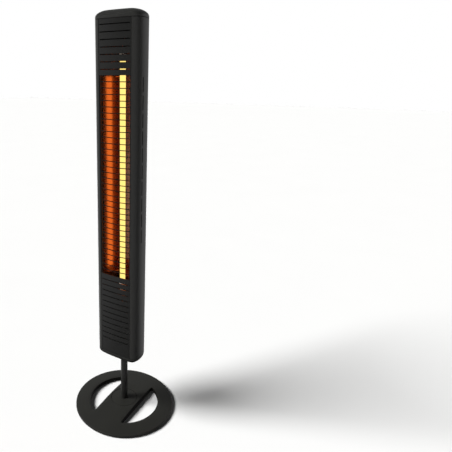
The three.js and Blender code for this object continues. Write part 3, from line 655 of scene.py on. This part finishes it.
# %% Caps
CAP_HEIGHT = 27 * MM
CAP_ROLL = 22 * MM
CAP_SIDE_INSET = 39.5 * MM
CAP_FRONT_INSET = 29 * MM
CAP_FULLNESS = 1.8
CAP_WALL = 3 * MM
CAP_STEPS = 16
SEAL_INSET = 0.5 * MM


def cap_rings(edge_z, end_z, inset=0.0):
    """Outlines from the cap's open edge to its flat end."""
    up = 1 if end_z > edge_z else -1
    centre = (BACK - FRONT) / 2
    rings = [[(x, y, edge_z) for x, y in section(inset, 8)]]
    for i in range(CAP_STEPS + 1):
        rise = math.sin(math.pi / 2 * i / CAP_STEPS)
        drawn = 1 - (1 - rise**CAP_FULLNESS) ** (1 / CAP_FULLNESS)
        sx = 1 - CAP_SIDE_INSET / HALF_WIDTH * drawn
        sy = 1 - CAP_FRONT_INSET / (BACK - centre) * drawn
        z = end_z - up * CAP_ROLL * (1 - rise)
        rings.append([(x * sx, centre + (y - centre) * sy, z) for x, y in section(inset, 8)])
    return rings if up > 0 else list(reversed(rings))


HEAD_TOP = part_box("top_cap")[1][2]
HEAD_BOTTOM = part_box("bottom_cap")[0][2]
MAST_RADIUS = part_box("mast")[1][0]

top_cap = lofted("top_cap_casting", cap_rings(HEAD_TOP - CAP_HEIGHT, HEAD_TOP))
top_hollow = lofted("top_hollow", cap_rings(HEAD_TOP - CAP_HEIGHT - MM, HEAD_TOP - CAP_WALL, CAP_WALL))
placed(cut(top_cap, [top_hollow]), powder_coat, "top_cap")

bottom_cap = lofted("bottom_cap_casting", cap_rings(HEAD_BOTTOM + CAP_HEIGHT, HEAD_BOTTOM))
bottom_hollow = lofted(
    "bottom_hollow", cap_rings(HEAD_BOTTOM + CAP_HEIGHT + MM, HEAD_BOTTOM + CAP_WALL, CAP_WALL)
)


def round_way(radius, centre):
    """A round cutter through the bottom cap's floor."""
    return rod("round_cutter", radius, HEAD_BOTTOM - 10 * MM, HEAD_BOTTOM + 10 * MM, 48, centre)


GLAND = middle("cable_gland")[:2]
GLAND_NECK = 8 * MM
bottom_ways = [round_way(MAST_RADIUS + GAP, (0.0, 0.0)), round_way(GLAND_NECK + GAP, GLAND)]
placed(cut(bottom_cap, [bottom_hollow, *bottom_ways]), powder_coat, "bottom_cap")


def seal(name, node):
    """A gasket: a flat ring that ends a little inside the shell's skin."""
    low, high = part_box(node)
    ring = pushed(name, section(SEAL_INSET), low[2], high[2])
    inside = pushed("inside", section(WALL), low[2] - MM, high[2] + MM)
    return placed(cut(ring, [inside]), moulded_rubber, node)


seal("top_seal", "top_gasket")
seal("bottom_seal", "bottom_gasket")
print("caps and gaskets: 4 pieces")

# %% [markdown]
# ## The slotted front plates
# Two plates of folded sheet close the front above and below the lamp. Their long edges turn
# back with a small bend radius, and rows of round-ended slots let the warm air out. The bend
# is part of the pushed outline, and the slots are one cutter each, so both have real edges.

# %% Plates
PLATE = 1.6 * MM
PLATE_SLACK = 0.5 * MM
BEND = 2.2 * MM
SLOT_WIDTH = 117 * MM
SLOT_HEIGHT = 3.2 * MM


def plate_outline():
    """A crowned strip with its edges folded back onto the ledges."""
    half = OPENING - PLATE_SLACK
    turn_y = crowned_face(half) + BEND
    flat = [(half - BEND) * (1 - i / 8) for i in range(8)]
    skins = []
    for depth in (0.0, PLATE):
        face = [(x, crowned_face(x) + depth) for x in reversed(flat)]
        corner = arc(half - BEND, turn_y, BEND - depth, -math.pi / 2, 0, 6)
        right = face + corner + [(half - depth, LEDGE_Y - GAP)]
        skins.append([(-x, y) for x, y in reversed(right)] + right)
    return skins[0] + list(reversed(skins[1]))


def slot_cutter(z):
    """A bar with a slot's outline that runs through the plate's face."""
    outline = round_ended(SLOT_WIDTH, SLOT_HEIGHT)
    depths = (LEDGE_Y - 2.5 * MM, EDGE_Y - 8 * MM)
    return lofted("slot_cutter", [[(x, y, z + h) for x, h in outline] for y in depths])


def front_plate(name, node, first_mm, pitch_mm, count):
    """One slotted plate in its node's place."""
    low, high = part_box(node)
    plate = pushed(name, plate_outline(), low[2], high[2])
    slots = [slot_cutter((first_mm - pitch_mm * i) * MM) for i in range(count)]
    return placed(cut(plate, slots), sheet_coat, node)


front_plate("upper_front_plate", "upper_plate", first_mm=1453, pitch_mm=23, count=7)
front_plate("lower_front_plate", "lower_plate", first_mm=566.1, pitch_mm=22.1, count=12)
print("slots cut: 19")

# %% [markdown]
# ## The wire guard
# Thirty-four round wires, each bent in one even bow, are welded into two side rails. A finger
# can't pass between them, while the heat can. Curves with a round bevel would do, but rings
# laid along an arc put all the wires and rails into one mesh with closed ends.

# %% Guard
WIRES = 34
WIRE = 3 * MM
WIRE_BOW = 9 * MM
WIRE_SETBACK = 2.3 * MM
RAIL = 4 * MM
RAIL_SETBACK = 1.5 * MM


def bowed_wire(half, wire_y, z, sides=12, steps=24):
    """Points and faces of one wire, bent to an arc that stands proud in its middle."""
    radius = (half**2 + WIRE_BOW**2) / (2 * WIRE_BOW)
    sweep = math.asin(half / radius)
    centre_y = wire_y - WIRE_BOW + radius
    points = []
    for i in range(steps + 1):
        a = (2 * i / steps - 1) * sweep
        for r, rise in arc(radius, 0.0, WIRE / 2, 0, 2 * math.pi, sides)[:-1]:
            points.append((r * math.sin(a), centre_y - r * math.cos(a), z + rise))
    faces = [tuple(reversed(range(sides))), tuple(range(steps * sides, (steps + 1) * sides))]
    for i in range(steps):
        near, far = i * sides, (i + 1) * sides
        for k in range(sides):
            after = (k + 1) % sides
            faces.append((near + k, near + after, far + after, far + k))
    return points, faces


def side_rail(side, outer, low_z, high_z):
    """Points and faces of a rail with rounded front edges."""
    front, back, soft = EDGE_Y + RAIL_SETBACK, LEDGE_Y - GAP, 0.8 * MM
    x0, x1 = sorted((side * outer, side * (outer - RAIL)))
    strip = [
        *arc(x0 + soft, front + soft, soft, math.pi, 1.5 * math.pi, 3),
        *arc(x1 - soft, front + soft, soft, 1.5 * math.pi, 2 * math.pi, 3),
        (x1, back),
        (x0, back),
    ]
    n = len(strip)
    points = [(x, y, z) for z in (low_z, high_z) for x, y in strip]
    faces = [(i, (i + 1) % n, n + (i + 1) % n, n + i) for i in range(n)]
    return points, [*faces, tuple(reversed(range(n))), tuple(range(n, 2 * n))]


def guard():
    """All the bowed wires and both rails as one mesh."""
    low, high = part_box("wire_guard")
    pitch = (high[2] - low[2] + 2 * GAP) / (WIRES + 1)
    wire_y = EDGE_Y + WIRE_SETBACK + WIRE / 2
    heights = [low[2] - GAP + pitch * (i + 1) for i in range(WIRES)]
    bodies = [bowed_wire(high[0] - RAIL / 2, wire_y, z) for z in heights]
    bodies += [side_rail(side, high[0], low[2], high[2]) for side in (-1, 1)]
    points, faces = [], []
    for body_points, body_faces in bodies:
        start = len(points)
        points += body_points
        faces += [tuple(start + i for i in face) for face in body_faces]
    return mesh_object("bowed_wire_guard", points, faces, 50)


placed(guard(), stove_black, "wire_guard")
print("guard wires:", WIRES)

# %% [markdown]
# ## The trough
# The mirror is one sheet folded to a flat-bottomed trough, closed by a plate at each end that
# is notched from the mouth, so that the lamp can be laid in. The lamp stands on the trough's
# axis, and the wings throw a stretched picture of it forward. A bend with one small radius
# would break that picture, so each bend is drawn as a parabola between two tangents.

# %% Trough
TROUGH_LIP = 55.5 * MM
TROUGH_FLANGE = 62 * MM
TROUGH_BACK = 23 * MM
TROUGH_HALF_BACK = 29 * MM
TROUGH_MOUTH = LEDGE_Y + LEDGE + GAP
SOFT_BACK, SOFT_WING = 0.4, 0.2  # shares of back and wing that the bend takes up
SHEET = 1 * MM
NOTCH_SLACK = 1.5 * MM
NOTCH_FLARE = 50 * MM
NOTCH_FRONT = -70 * MM
LAMP_X, LAMP_Y, _ = middle("lamp_tube")
LAMP_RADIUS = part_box("lamp_tube")[1][0]


def trough_side(grow, steps=10):
    """The right half of the trough's section from its middle out to its lip."""
    lip = Vector((TROUGH_LIP + grow, TROUGH_MOUTH))
    bend = Vector((TROUGH_HALF_BACK + grow, TROUGH_BACK + grow))
    centre = Vector((0.0, TROUGH_BACK + grow))
    near, far = bend.lerp(centre, SOFT_BACK), lip.lerp(bend, 1 - SOFT_WING)
    soft = []
    for i in range(steps + 1):
        t = i / steps
        soft.append(near * (1 - t) ** 2 + bend * 2 * t * (1 - t) + far * t**2)
    return [tuple(p) for p in (centre, *soft, lip)]


def both_sides(right):
    """A half section that starts on the middle line, with its mirror image before it."""
    return [(-x, y) for x, y in reversed(right[1:])] + right


def trough():
    """The folded mirror sheet, open at the front and at both ends."""
    low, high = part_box("reflector")
    inside = trough_side(0.0) + [(TROUGH_FLANGE, TROUGH_MOUTH)]
    outside = trough_side(SHEET)[:-1] + [
        (TROUGH_LIP + SHEET, TROUGH_MOUTH + SHEET),
        (TROUGH_FLANGE, TROUGH_MOUTH + SHEET),
    ]
    outline = both_sides(inside) + list(reversed(both_sides(outside)))
    return pushed("mirror_trough", outline, low[2], high[2])


def trough_end(name, node):
    """A plate across the trough, notched from its mouth so that the lamp goes in."""
    low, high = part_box(node)
    plate = pushed(name, both_sides(trough_side(-0.5 * MM)), low[2], high[2])
    notch = arc(LAMP_X, LAMP_Y, LAMP_RADIUS + NOTCH_SLACK, 0, math.pi, 24)
    notch += [(-NOTCH_FLARE, NOTCH_FRONT), (NOTCH_FLARE, NOTCH_FRONT)]
    cutter = pushed("lamp_cutter", notch, low[2] - MM, high[2] + MM)
    return placed(cut(plate, [cutter]), mirror, node)


placed(trough(), mirror, "reflector")
trough_end("upper_trough_end", "reflector_end_top")
trough_end("lower_trough_end", "reflector_end_bottom")
print("trough", round(2 * TROUGH_LIP / MM), "mm wide at its mouth")

# %% [markdown]
# ## The lamp
# A quartz tube with a ceramic end on each side. The tube is open at its ends, where the
# ceramic closes it, so it is turned as a ring.

# %% Lamp
TUBE_WALL = 1.4 * MM


def lamp_tube():
    """The quartz tube."""
    low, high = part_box("lamp_tube")
    inner = LAMP_RADIUS - TUBE_WALL
    profile = [(LAMP_RADIUS, low[2]), (LAMP_RADIUS, high[2]), (inner, high[2]), (inner, low[2])]
    return turned("quartz_lamp_tube", profile, 48, (LAMP_X, LAMP_Y))


placed(lamp_tube(), lit_quartz, "lamp_tube")
print("lamp", round(LAMP_RADIUS * 2 / MM), "mm across")

# %% [markdown]
# ## The foot
# The foot is an iron casting, a shallow cone with a rounded rim and two D-shaped cut-outs that
# leave one broad bar under the mast. The flange lies in a seat so that its top carries on the
# cone. The casting is turned from its profile and then cut, and a bevel eases the cut edges,
# since a casting has no sharp ones. The walls of the cut-outs get a darker, duller coat,
# which is painted shade for the shadow that falls into these recesses.

# %% Foot
FOOT_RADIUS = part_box("foot_plate")[1][0]
FOOT_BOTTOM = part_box("foot_plate")[0][2]
RIM_TOP = 14 * MM
CONE_TOP = 30 * MM
FLANGE_SEAT = 16 * MM
FLANGE_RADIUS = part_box("mast_flange")[1][0]
CUTOUT_ARC = 137 * MM
CUTOUT_EDGE = 60.5 * MM
CUTOUT_CORNER = 5 * MM
EASED_MM = 0.7
UPRIGHT = 0.5  # a face whose normal rises less than this is a wall


def cone(r):
    """Height of the foot's upper face at a radius."""
    return CONE_TOP - (CONE_TOP - RIM_TOP) * r / FOOT_RADIUS


def cutout(side):
    """A D-shaped cutter: an arc and a straight edge with rounded corners."""
    x = CUTOUT_EDGE + CUTOUT_CORNER
    y = math.sqrt((CUTOUT_ARC - CUTOUT_CORNER) ** 2 - x**2)
    a = math.atan2(y, x)
    outline = arc(0, 0, CUTOUT_ARC, -a, a, 48)
    outline += arc(x, y, CUTOUT_CORNER, a, math.pi, 10)[1:]
    outline += arc(x, -y, CUTOUT_CORNER, math.pi, 2 * math.pi - a, 10)[:-1]
    half_turned = [(side * px, side * py) for px, py in outline]
    return pushed("cutout_cutter", half_turned, FOOT_BOTTOM - 10 * MM, CONE_TOP + 20 * MM)


def foot_casting():
    """The casting, cut and with its cut edges eased."""
    edge, chamfer = 3 * MM, 2 * MM
    seat = FLANGE_RADIUS + GAP
    profile = [
        (0.0, FOOT_BOTTOM),
        (FOOT_RADIUS - chamfer, FOOT_BOTTOM),
        (FOOT_RADIUS, FOOT_BOTTOM + chamfer),
    ]
    profile += arc(FOOT_RADIUS - edge, RIM_TOP - edge, edge, 0, math.radians(85), 8)
    profile += [(r, cone(r)) for r in (150 * MM, 100 * MM, seat)]
    profile += [(seat, FLANGE_SEAT), (0.0, FLANGE_SEAT)]
    casting = cut(turned("foot_casting", profile, 180), [cutout(1), cutout(-1)])
    return bevelled(casting, EASED_MM)


foot = placed(foot_casting(), cast_coat, "foot_plate")
foot.data.materials.append(cutout_shade_coat)
# Painted shade: the wall faces of the cut-outs take the darker coat.
for face in foot.data.polygons:
    if abs(face.normal.z) < UPRIGHT and face.center.xy.length < CUTOUT_ARC + MM:
        face.material_index = 1
print("foot", round(2 * FOOT_RADIUS / MM), "mm across")

# %% [markdown]
# ## Flange, mast and rubber feet
# The mast is a plain steel tube. Its flange fills the seat in the foot but for a hair's gap all
# round, which is drawn 1 mm wider, since a truer one would not show. Four moulded rubber feet
# keep the casting off the ground. All of them are round, so each is a profile turned about its
# axis.

# %% Flange, mast and feet
SEAM = 1 * MM
FLANGE_EDGE = 0.4 * MM
MAST_WALL = 2 * MM
bore = MAST_RADIUS + GAP
ring_radius = FLANGE_RADIUS - SEAM
flange_profile = [
    (bore, FLANGE_SEAT + GAP),
    (ring_radius, FLANGE_SEAT + GAP),
    (ring_radius, cone(ring_radius) - FLANGE_EDGE),
    (ring_radius - FLANGE_EDGE, cone(ring_radius)),
    (bore + 0.6 * MM, cone(bore)),
    (bore, cone(bore) - 0.5 * MM),
]
placed(turned("flange_ring", flange_profile, 128), cast_coat, "mast_flange")

mast_low, mast_high = (corner[2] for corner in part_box("mast"))
mast_inner = MAST_RADIUS - MAST_WALL
mast_profile = [
    (MAST_RADIUS, mast_low),
    (MAST_RADIUS, mast_high),
    (mast_inner, mast_high),
    (mast_inner, mast_low),
]
placed(turned("mast_tube", mast_profile, 64), powder_coat, "mast")

PEG = 5 * MM  # radius of the peg that holds a rubber foot in the casting
for number in range(1, 5):
    node = f"rubber_pad_{number}"
    (x0, _, _), (x1, _, pad_top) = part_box(node)
    radius = (x1 - x0) / 2
    shoulder = FOOT_BOTTOM - GAP
    profile = [(0.0, 0.0), *arc(radius - MM, MM, MM, -math.pi / 2, 0, 4)]
    profile += [(radius, shoulder), (PEG, shoulder), (PEG, pad_top), (0.0, pad_top)]
    placed(turned(f"rubber_foot_{number}", profile, 40, middle(node)[:2]), moulded_rubber, node)
print("flange, mast and", number, "rubber feet")

# %% [markdown]
# ## The switch on the back
# A rocker switch snaps into its window. Its bezel and its tub are one moulding, so they are
# joined before the well is cut. The rocker could be a bent block, but its ends have to swing
# clear of the well, so it is drawn from the side, with two arcs about the hinge and a shallow V
# between them, and pushed across. It turns with its own body.


# %% Bezel and rocker
def rounded_rectangle(width, height, radius, steps=6):
    """An anticlockwise rectangle with rounded corners about the origin."""
    w, h, quarter = width / 2 - radius, height / 2 - radius, math.pi / 2
    outline = []
    for i, (x, y) in enumerate(((w, h), (-w, h), (-w, -h), (w, -h))):
        outline += arc(x, y, radius, i * quarter, (i + 1) * quarter, steps)
    return outline


SWITCH_SEAT = BACK + GAP
BEZEL_SIZE = (31 * MM, 24 * MM, 2.5 * MM)  # width, height and corner radius
TUB_SIZE = (27 * MM, 19.6 * MM, 1 * MM)
WELL_SIZE = (23 * MM, 17 * MM, 0.8 * MM)
BEZEL_STANDS = 2.2 * MM
TUB_DEPTH = 20 * MM
WELL_DEPTH = 11 * MM


def switch_bezel():
    """Bezel and tub in one moulding, with the well that the rocker turns in."""
    rim = bevelled(pushed("bezel", rounded_rectangle(*BEZEL_SIZE), 0.0, BEZEL_STANDS), 0.6, segments=3)
    well = pushed("well", rounded_rectangle(*WELL_SIZE), -WELL_DEPTH, 4 * MM)
    tub = pushed("tub", rounded_rectangle(*TUB_SIZE), -TUB_DEPTH, 0.5 * MM)
    for piece in (rim, tub, well):
        facing_back(piece, 0.0, SWITCH_SEAT, SWITCH_Z)
    return cut(joined(rim, [tub]), [well])


placed(switch_bezel(), black_plastic, "switch_body")


ROCKER_REACH = 7.9 * MM
ROCKER_WIDTH = 22 * MM
ROCKER_KEEL = 7.2 * MM
TIPPED = math.radians(10)  # how far the rocker rests from its middle position
VALLEY, SHOULDER = 1.2 * MM, 1.75 * MM  # heights of the V over the hinge
HINGE_OUT = 1.2 * MM


def rocker():
    """The rocker at rest, its upper end pressed in."""
    reach = ROCKER_REACH
    tip = math.asin((VALLEY + reach * math.sin(TIPPED) * 0.95) / reach)
    under = math.radians(-38)
    side = arc(0, 0, reach, under, tip, 12)
    side += [(reach * 0.5, SHOULDER), (0.0, VALLEY), (-reach * 0.5, SHOULDER)]
    side += arc(0, 0, reach, math.pi - tip, math.pi - under, 12) + [(0.0, -ROCKER_KEEL)]
    body = pushed("switch_rocker", side, -ROCKER_WIDTH / 2, ROCKER_WIDTH / 2)
    body = bevelled(body, 0.5, limit_degrees=40)
    pivot_y = SWITCH_SEAT + HINGE_OUT
    c, s = math.cos(TIPPED), math.sin(TIPPED)
    for vertex in body.data.vertices:
        along, out, across = vertex.co
        y, z = out, along
        vertex.co = (across, pivot_y + y * c - z * s, SWITCH_Z + y * s + z * c)
    body.data.flip_normals()
    return body


placed(rocker(), black_plastic, "power_rocker", body="rocker")
print("switch at height", round(SWITCH_Z / MM), "mm")

# %% [markdown]
# ## Screws and cable gland
# Pan-head screws with hexagon sockets hold the caps. Each is turned and its socket cut. A thread
# would be hidden in the wall, so the shank is plain.

# %% Screws
HEAD_RADIUS = 4.2 * MM
HEAD_EDGE, HEAD_HEIGHT = 1.0 * MM, 2.6 * MM
SHANK_RADIUS = 1.3 * MM
SHANK_LENGTH = 9 * MM


def pan_screw(name, node):
    """A pan head with a hexagon socket and its plain shank."""
    x, _, z = middle(node)
    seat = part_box(node)[1][1] - HEAD_HEIGHT
    dome = []
    for i in range(6):
        a = math.pi / 2 * i / 6
        rise = (HEAD_HEIGHT - HEAD_EDGE) * math.sin(a)
        dome.append((HEAD_RADIUS * math.cos(a), HEAD_EDGE + rise))
    profile = [(0.0, -SHANK_LENGTH), (SHANK_RADIUS, -SHANK_LENGTH), (SHANK_RADIUS, 0.0)]
    profile += [(HEAD_RADIUS, 0.0), *dome, (1.2 * MM, HEAD_HEIGHT), (0.0, HEAD_HEIGHT)]
    screw = turned(name, profile, 36)
    socket = pushed("socket_cutter", arc(0, 0, 1.5 * MM, 0, 5 * math.pi / 3, 5), 1.1 * MM, 4 * MM)
    return placed(facing_back(cut(screw, [socket]), x, seat, z), zinc_steel, node)


for number in range(1, 5):
    pan_screw(f"cap_pan_screw_{number}", f"cap_screw_{number}")
print("cap screws:", number)

# %% [markdown]
# Under the tower, left of the mast, sits the gland for the supply: a hexagon under a domed nut
# with grip ribs. The ribs could be cut one by one, but it is simpler to draw the nut's rings
# with every other pair of points set back.

# %% Gland
GLAND_FACE = HEAD_BOTTOM - GAP
NUT_RIBS = 24
RIB_MM = 0.35
RIBS_FROM_MM = -17
NUT_PROFILE_MM = ((-20, 6.5), (-19.4, 7.2), (-17, 9.0), (-13, 9.8), (-9, 10.0), (-5, 10.0))
COLLAR_RADIUS = 12 * MM
COLLAR_HEIGHT = 5.2 * MM
NECK_LENGTH = 16 * MM
GLAND_BORE = 4.5 * MM


def nut_ring(height_mm, radius_mm):
    """One level of the nut: plain at its domed end, ribbed above it."""
    ring = []
    for i in range(4 * NUT_RIBS):
        a = 2 * math.pi * i / (4 * NUT_RIBS)
        groove_mm = RIB_MM if i % 4 < 2 and height_mm > RIBS_FROM_MM else 0.0
        r = (radius_mm - groove_mm) * MM
        x, y = GLAND[0] + r * math.cos(a), GLAND[1] + r * math.sin(a)
        ring.append((x, y, GLAND_FACE + height_mm * MM))
    return ring


def gland():
    """The gland's domed nut, hexagon and neck, with a way through for the supply."""
    nut = lofted("cable_entry", [nut_ring(*level) for level in NUT_PROFILE_MM])
    hexagon = arc(*GLAND, COLLAR_RADIUS, 0, 5 * math.pi / 3, 5)
    collar = bevelled(pushed("collar", hexagon, GLAND_FACE - COLLAR_HEIGHT, GLAND_FACE), 0.5)
    neck = rod("neck", GLAND_NECK, GLAND_FACE - MM, GLAND_FACE + NECK_LENGTH, 48, GLAND)
    way = rod("bore_cutter", GLAND_BORE, GLAND_FACE - 21 * MM, GLAND_FACE + 17 * MM, 32, GLAND)
    return cut(joined(nut, [collar, neck]), [way])


placed(gland(), black_plastic, "cable_gland")
print("grip ribs on the gland's nut:", NUT_RIBS)

# %% [markdown]
# ## The floor
# A pale painted floor takes the shadow. Where the light falls freely it is as white as the
# background, so no horizon shows, and a slow noise keeps it from being one flat value. Glossy
# rays pass through it, since the paint and the metal are to mirror the studio drawn in the next
# cell, which is darker below.

# %% Floor
FLOOR_HALF = 20.0
FLOOR_THICKNESS = 0.02
floor = block("floor", (-FLOOR_HALF, -FLOOR_HALF, -FLOOR_THICKNESS), (FLOOR_HALF, FLOOR_HALF, 0.0))
floor_paint, tree, place = material_tree("pale_studio_floor")
cloudy = add(tree, "ShaderNodeTexNoise", {"Scale": 2.0, "Detail": 2.0}, {"Vector": place})
tint = add(
    tree,
    "ShaderNodeMixRGB",
    {"Color1": linear("#f2f2f1"), "Color2": linear("#f4f4f3")},
    {"Fac": cloudy.outputs["Fac"]},
)
paper = add(tree, "ShaderNodeBsdfDiffuse", links={"Color": tint.outputs["Color"]})
floor.data.materials.append(finished(floor_paint, tree, paper.outputs["BSDF"]))
floor.visible_glossy = False
print("floor", round(floor.dimensions.x), "m wide")

# %% [markdown]
# ## The studio that the paint mirrors
# Satin black paint shows hardly anything but what it mirrors, so the studio round the heater
# matters more than its colour. It could be built of large lit panels, but a drawing in the
# world costs nothing: a ring of brightness over the compass for the white backdrop, the lit
# walls and the darker corners, a white card low at the front left, a dim ceiling, and nearly
# no light from the floor under the heater.

# %% Mirrored studio
# Azimuth in degrees from the front towards the right, and brightness.
STUDIO_RING = (
    (-90, 0.6),
    (-45, 0.48),
    (-30, 0.15),
    (-18, 0.15),
    (5, 0.42),
    (50, 0.42),
    (98, 0.18),
    (125, 0.12),
    (131, 0.7),
    (150, 0.62),
    (165, 0.42),
    (210, 0.4),
    (242, 0.6),
    (270, 0.6),
)
CARD_AZIMUTH, CARD_HEIGHT = -31, -15.5
CARD_INNER, CARD_OUTER = 4, 9  # degrees from its middle to the ends of its soft edge
CEILING, CEILING_START, CEILING_FULL = 0.14, 12, 38
GROUND, GROUND_START, GROUND_FULL = 0.03, -33, -41


def pointing(azimuth, height):
    """A direction from the heater: azimuth from the front towards the right, in degrees."""
    a, e = math.radians(azimuth), math.radians(height)
    return Vector((math.sin(a) * math.cos(e), -math.cos(a) * math.cos(e), math.sin(e)))


world = bpy.data.worlds.new("white_surround")
bpy.context.scene.world = world
world.use_nodes = True
tree = world.node_tree
tree.nodes.clear()
ahead = add(tree, "ShaderNodeTexCoord").outputs["Generated"]
compass = add(tree, "ShaderNodeTexGradient", links={"Vector": ahead}, gradient_type="RADIAL")
ring = add(tree, "ShaderNodeValToRGB", links={"Fac": compass.outputs["Fac"]})
stops = ring.color_ramp.elements
for azimuth, _ in STUDIO_RING[1:-1]:
    stops.new(azimuth / 360 + 0.25)
for stop, (_, brightness) in zip(stops, STUDIO_RING):
    stop.color = (brightness, brightness, brightness, 1.0)
nearness = add(
    tree,
    "ShaderNodeVectorMath",
    {1: pointing(CARD_AZIMUTH, CARD_HEIGHT)},
    {0: ahead},
    operation="DOT_PRODUCT",
)
card_outer, card_inner = (math.cos(math.radians(angle)) for angle in (CARD_OUTER, CARD_INNER))
studio = add(
    tree,
    "ShaderNodeMapRange",
    {"From Min": card_outer, "From Max": card_inner, "To Max": 1.0},
    {"Value": nearness.outputs["Value"], "To Min": ring.outputs["Color"]},
)
rise = add(tree, "ShaderNodeSeparateXYZ", links={"Vector": ahead}).outputs["Z"]
ground_full, ground_start = (math.sin(math.radians(a)) for a in (GROUND_FULL, GROUND_START))
above_ground = add(
    tree,
    "ShaderNodeMapRange",
    {"From Min": ground_full, "From Max": ground_start, "To Min": GROUND},
    {"Value": rise, "To Max": studio.outputs["Result"]},
)
ceiling_start, ceiling_full = (math.sin(math.radians(a)) for a in (CEILING_START, CEILING_FULL))
reflected = add(
    tree,
    "ShaderNodeMapRange",
    {"From Min": ceiling_start, "From Max": ceiling_full, "To Max": CEILING},
    {"Value": rise, "To Min": above_ground.outputs["Result"]},
)
print("stops in the studio ring:", len(stops))

# %% [markdown]
# ## Surround and key light
# The camera, and glass, see plain white all round, as in a product picture. Glossy rays see the
# studio, and everything else gets a dim even fill. One big soft light stands high at the front
# left, so that the shadow fans out to the right. An area lamp would light the top more than
# the foot, so it is a sun, and its wide angle makes the shadow soft.

# %% Surround and key light
FILL = 0.04
eye = add(tree, "ShaderNodeLightPath")
for_light = add(
    tree,
    "ShaderNodeMix",
    {"A": FILL},
    {"Factor": eye.outputs["Is Glossy Ray"], "B": reflected.outputs["Result"]},
)
straight = add(
    tree,
    "ShaderNodeMath",
    links={0: eye.outputs["Is Camera Ray"], 1: eye.outputs["Is Transmission Ray"]},
    operation="MAXIMUM",
)
level = add(
    tree,
    "ShaderNodeMix",
    {"B": 1.0},
    {"Factor": straight.outputs["Value"], "A": for_light.outputs["Result"]},
)
sky = add(tree, "ShaderNodeBackground", {"Color": (1, 1, 1, 1)}, {"Strength": level.outputs["Result"]})
add(tree, "ShaderNodeOutputWorld", links={"Surface": sky.outputs["Background"]})


def soft_sun(name, azimuth, height, width, strength):
    """A distant soft light, its place and its width in degrees."""
    data = bpy.data.lights.new(name, "SUN")
    data.angle = math.radians(width)
    data.energy = strength
    light = bpy.data.objects.new(name, data)
    light.rotation_euler = pointing(azimuth, height).to_track_quat("Z", "Y").to_euler()
    light.visible_glossy = False
    bpy.context.scene.collection.objects.link(light)
    return light


key = soft_sun("key_from_left", azimuth=-50, height=41, width=27, strength=5.1)
print("key light:", key.name)

# %% [markdown]
# ## Look
# The Standard view shows colours as written.

# %% Finish
bpy.context.scene.view_settings.view_transform = "Standard"
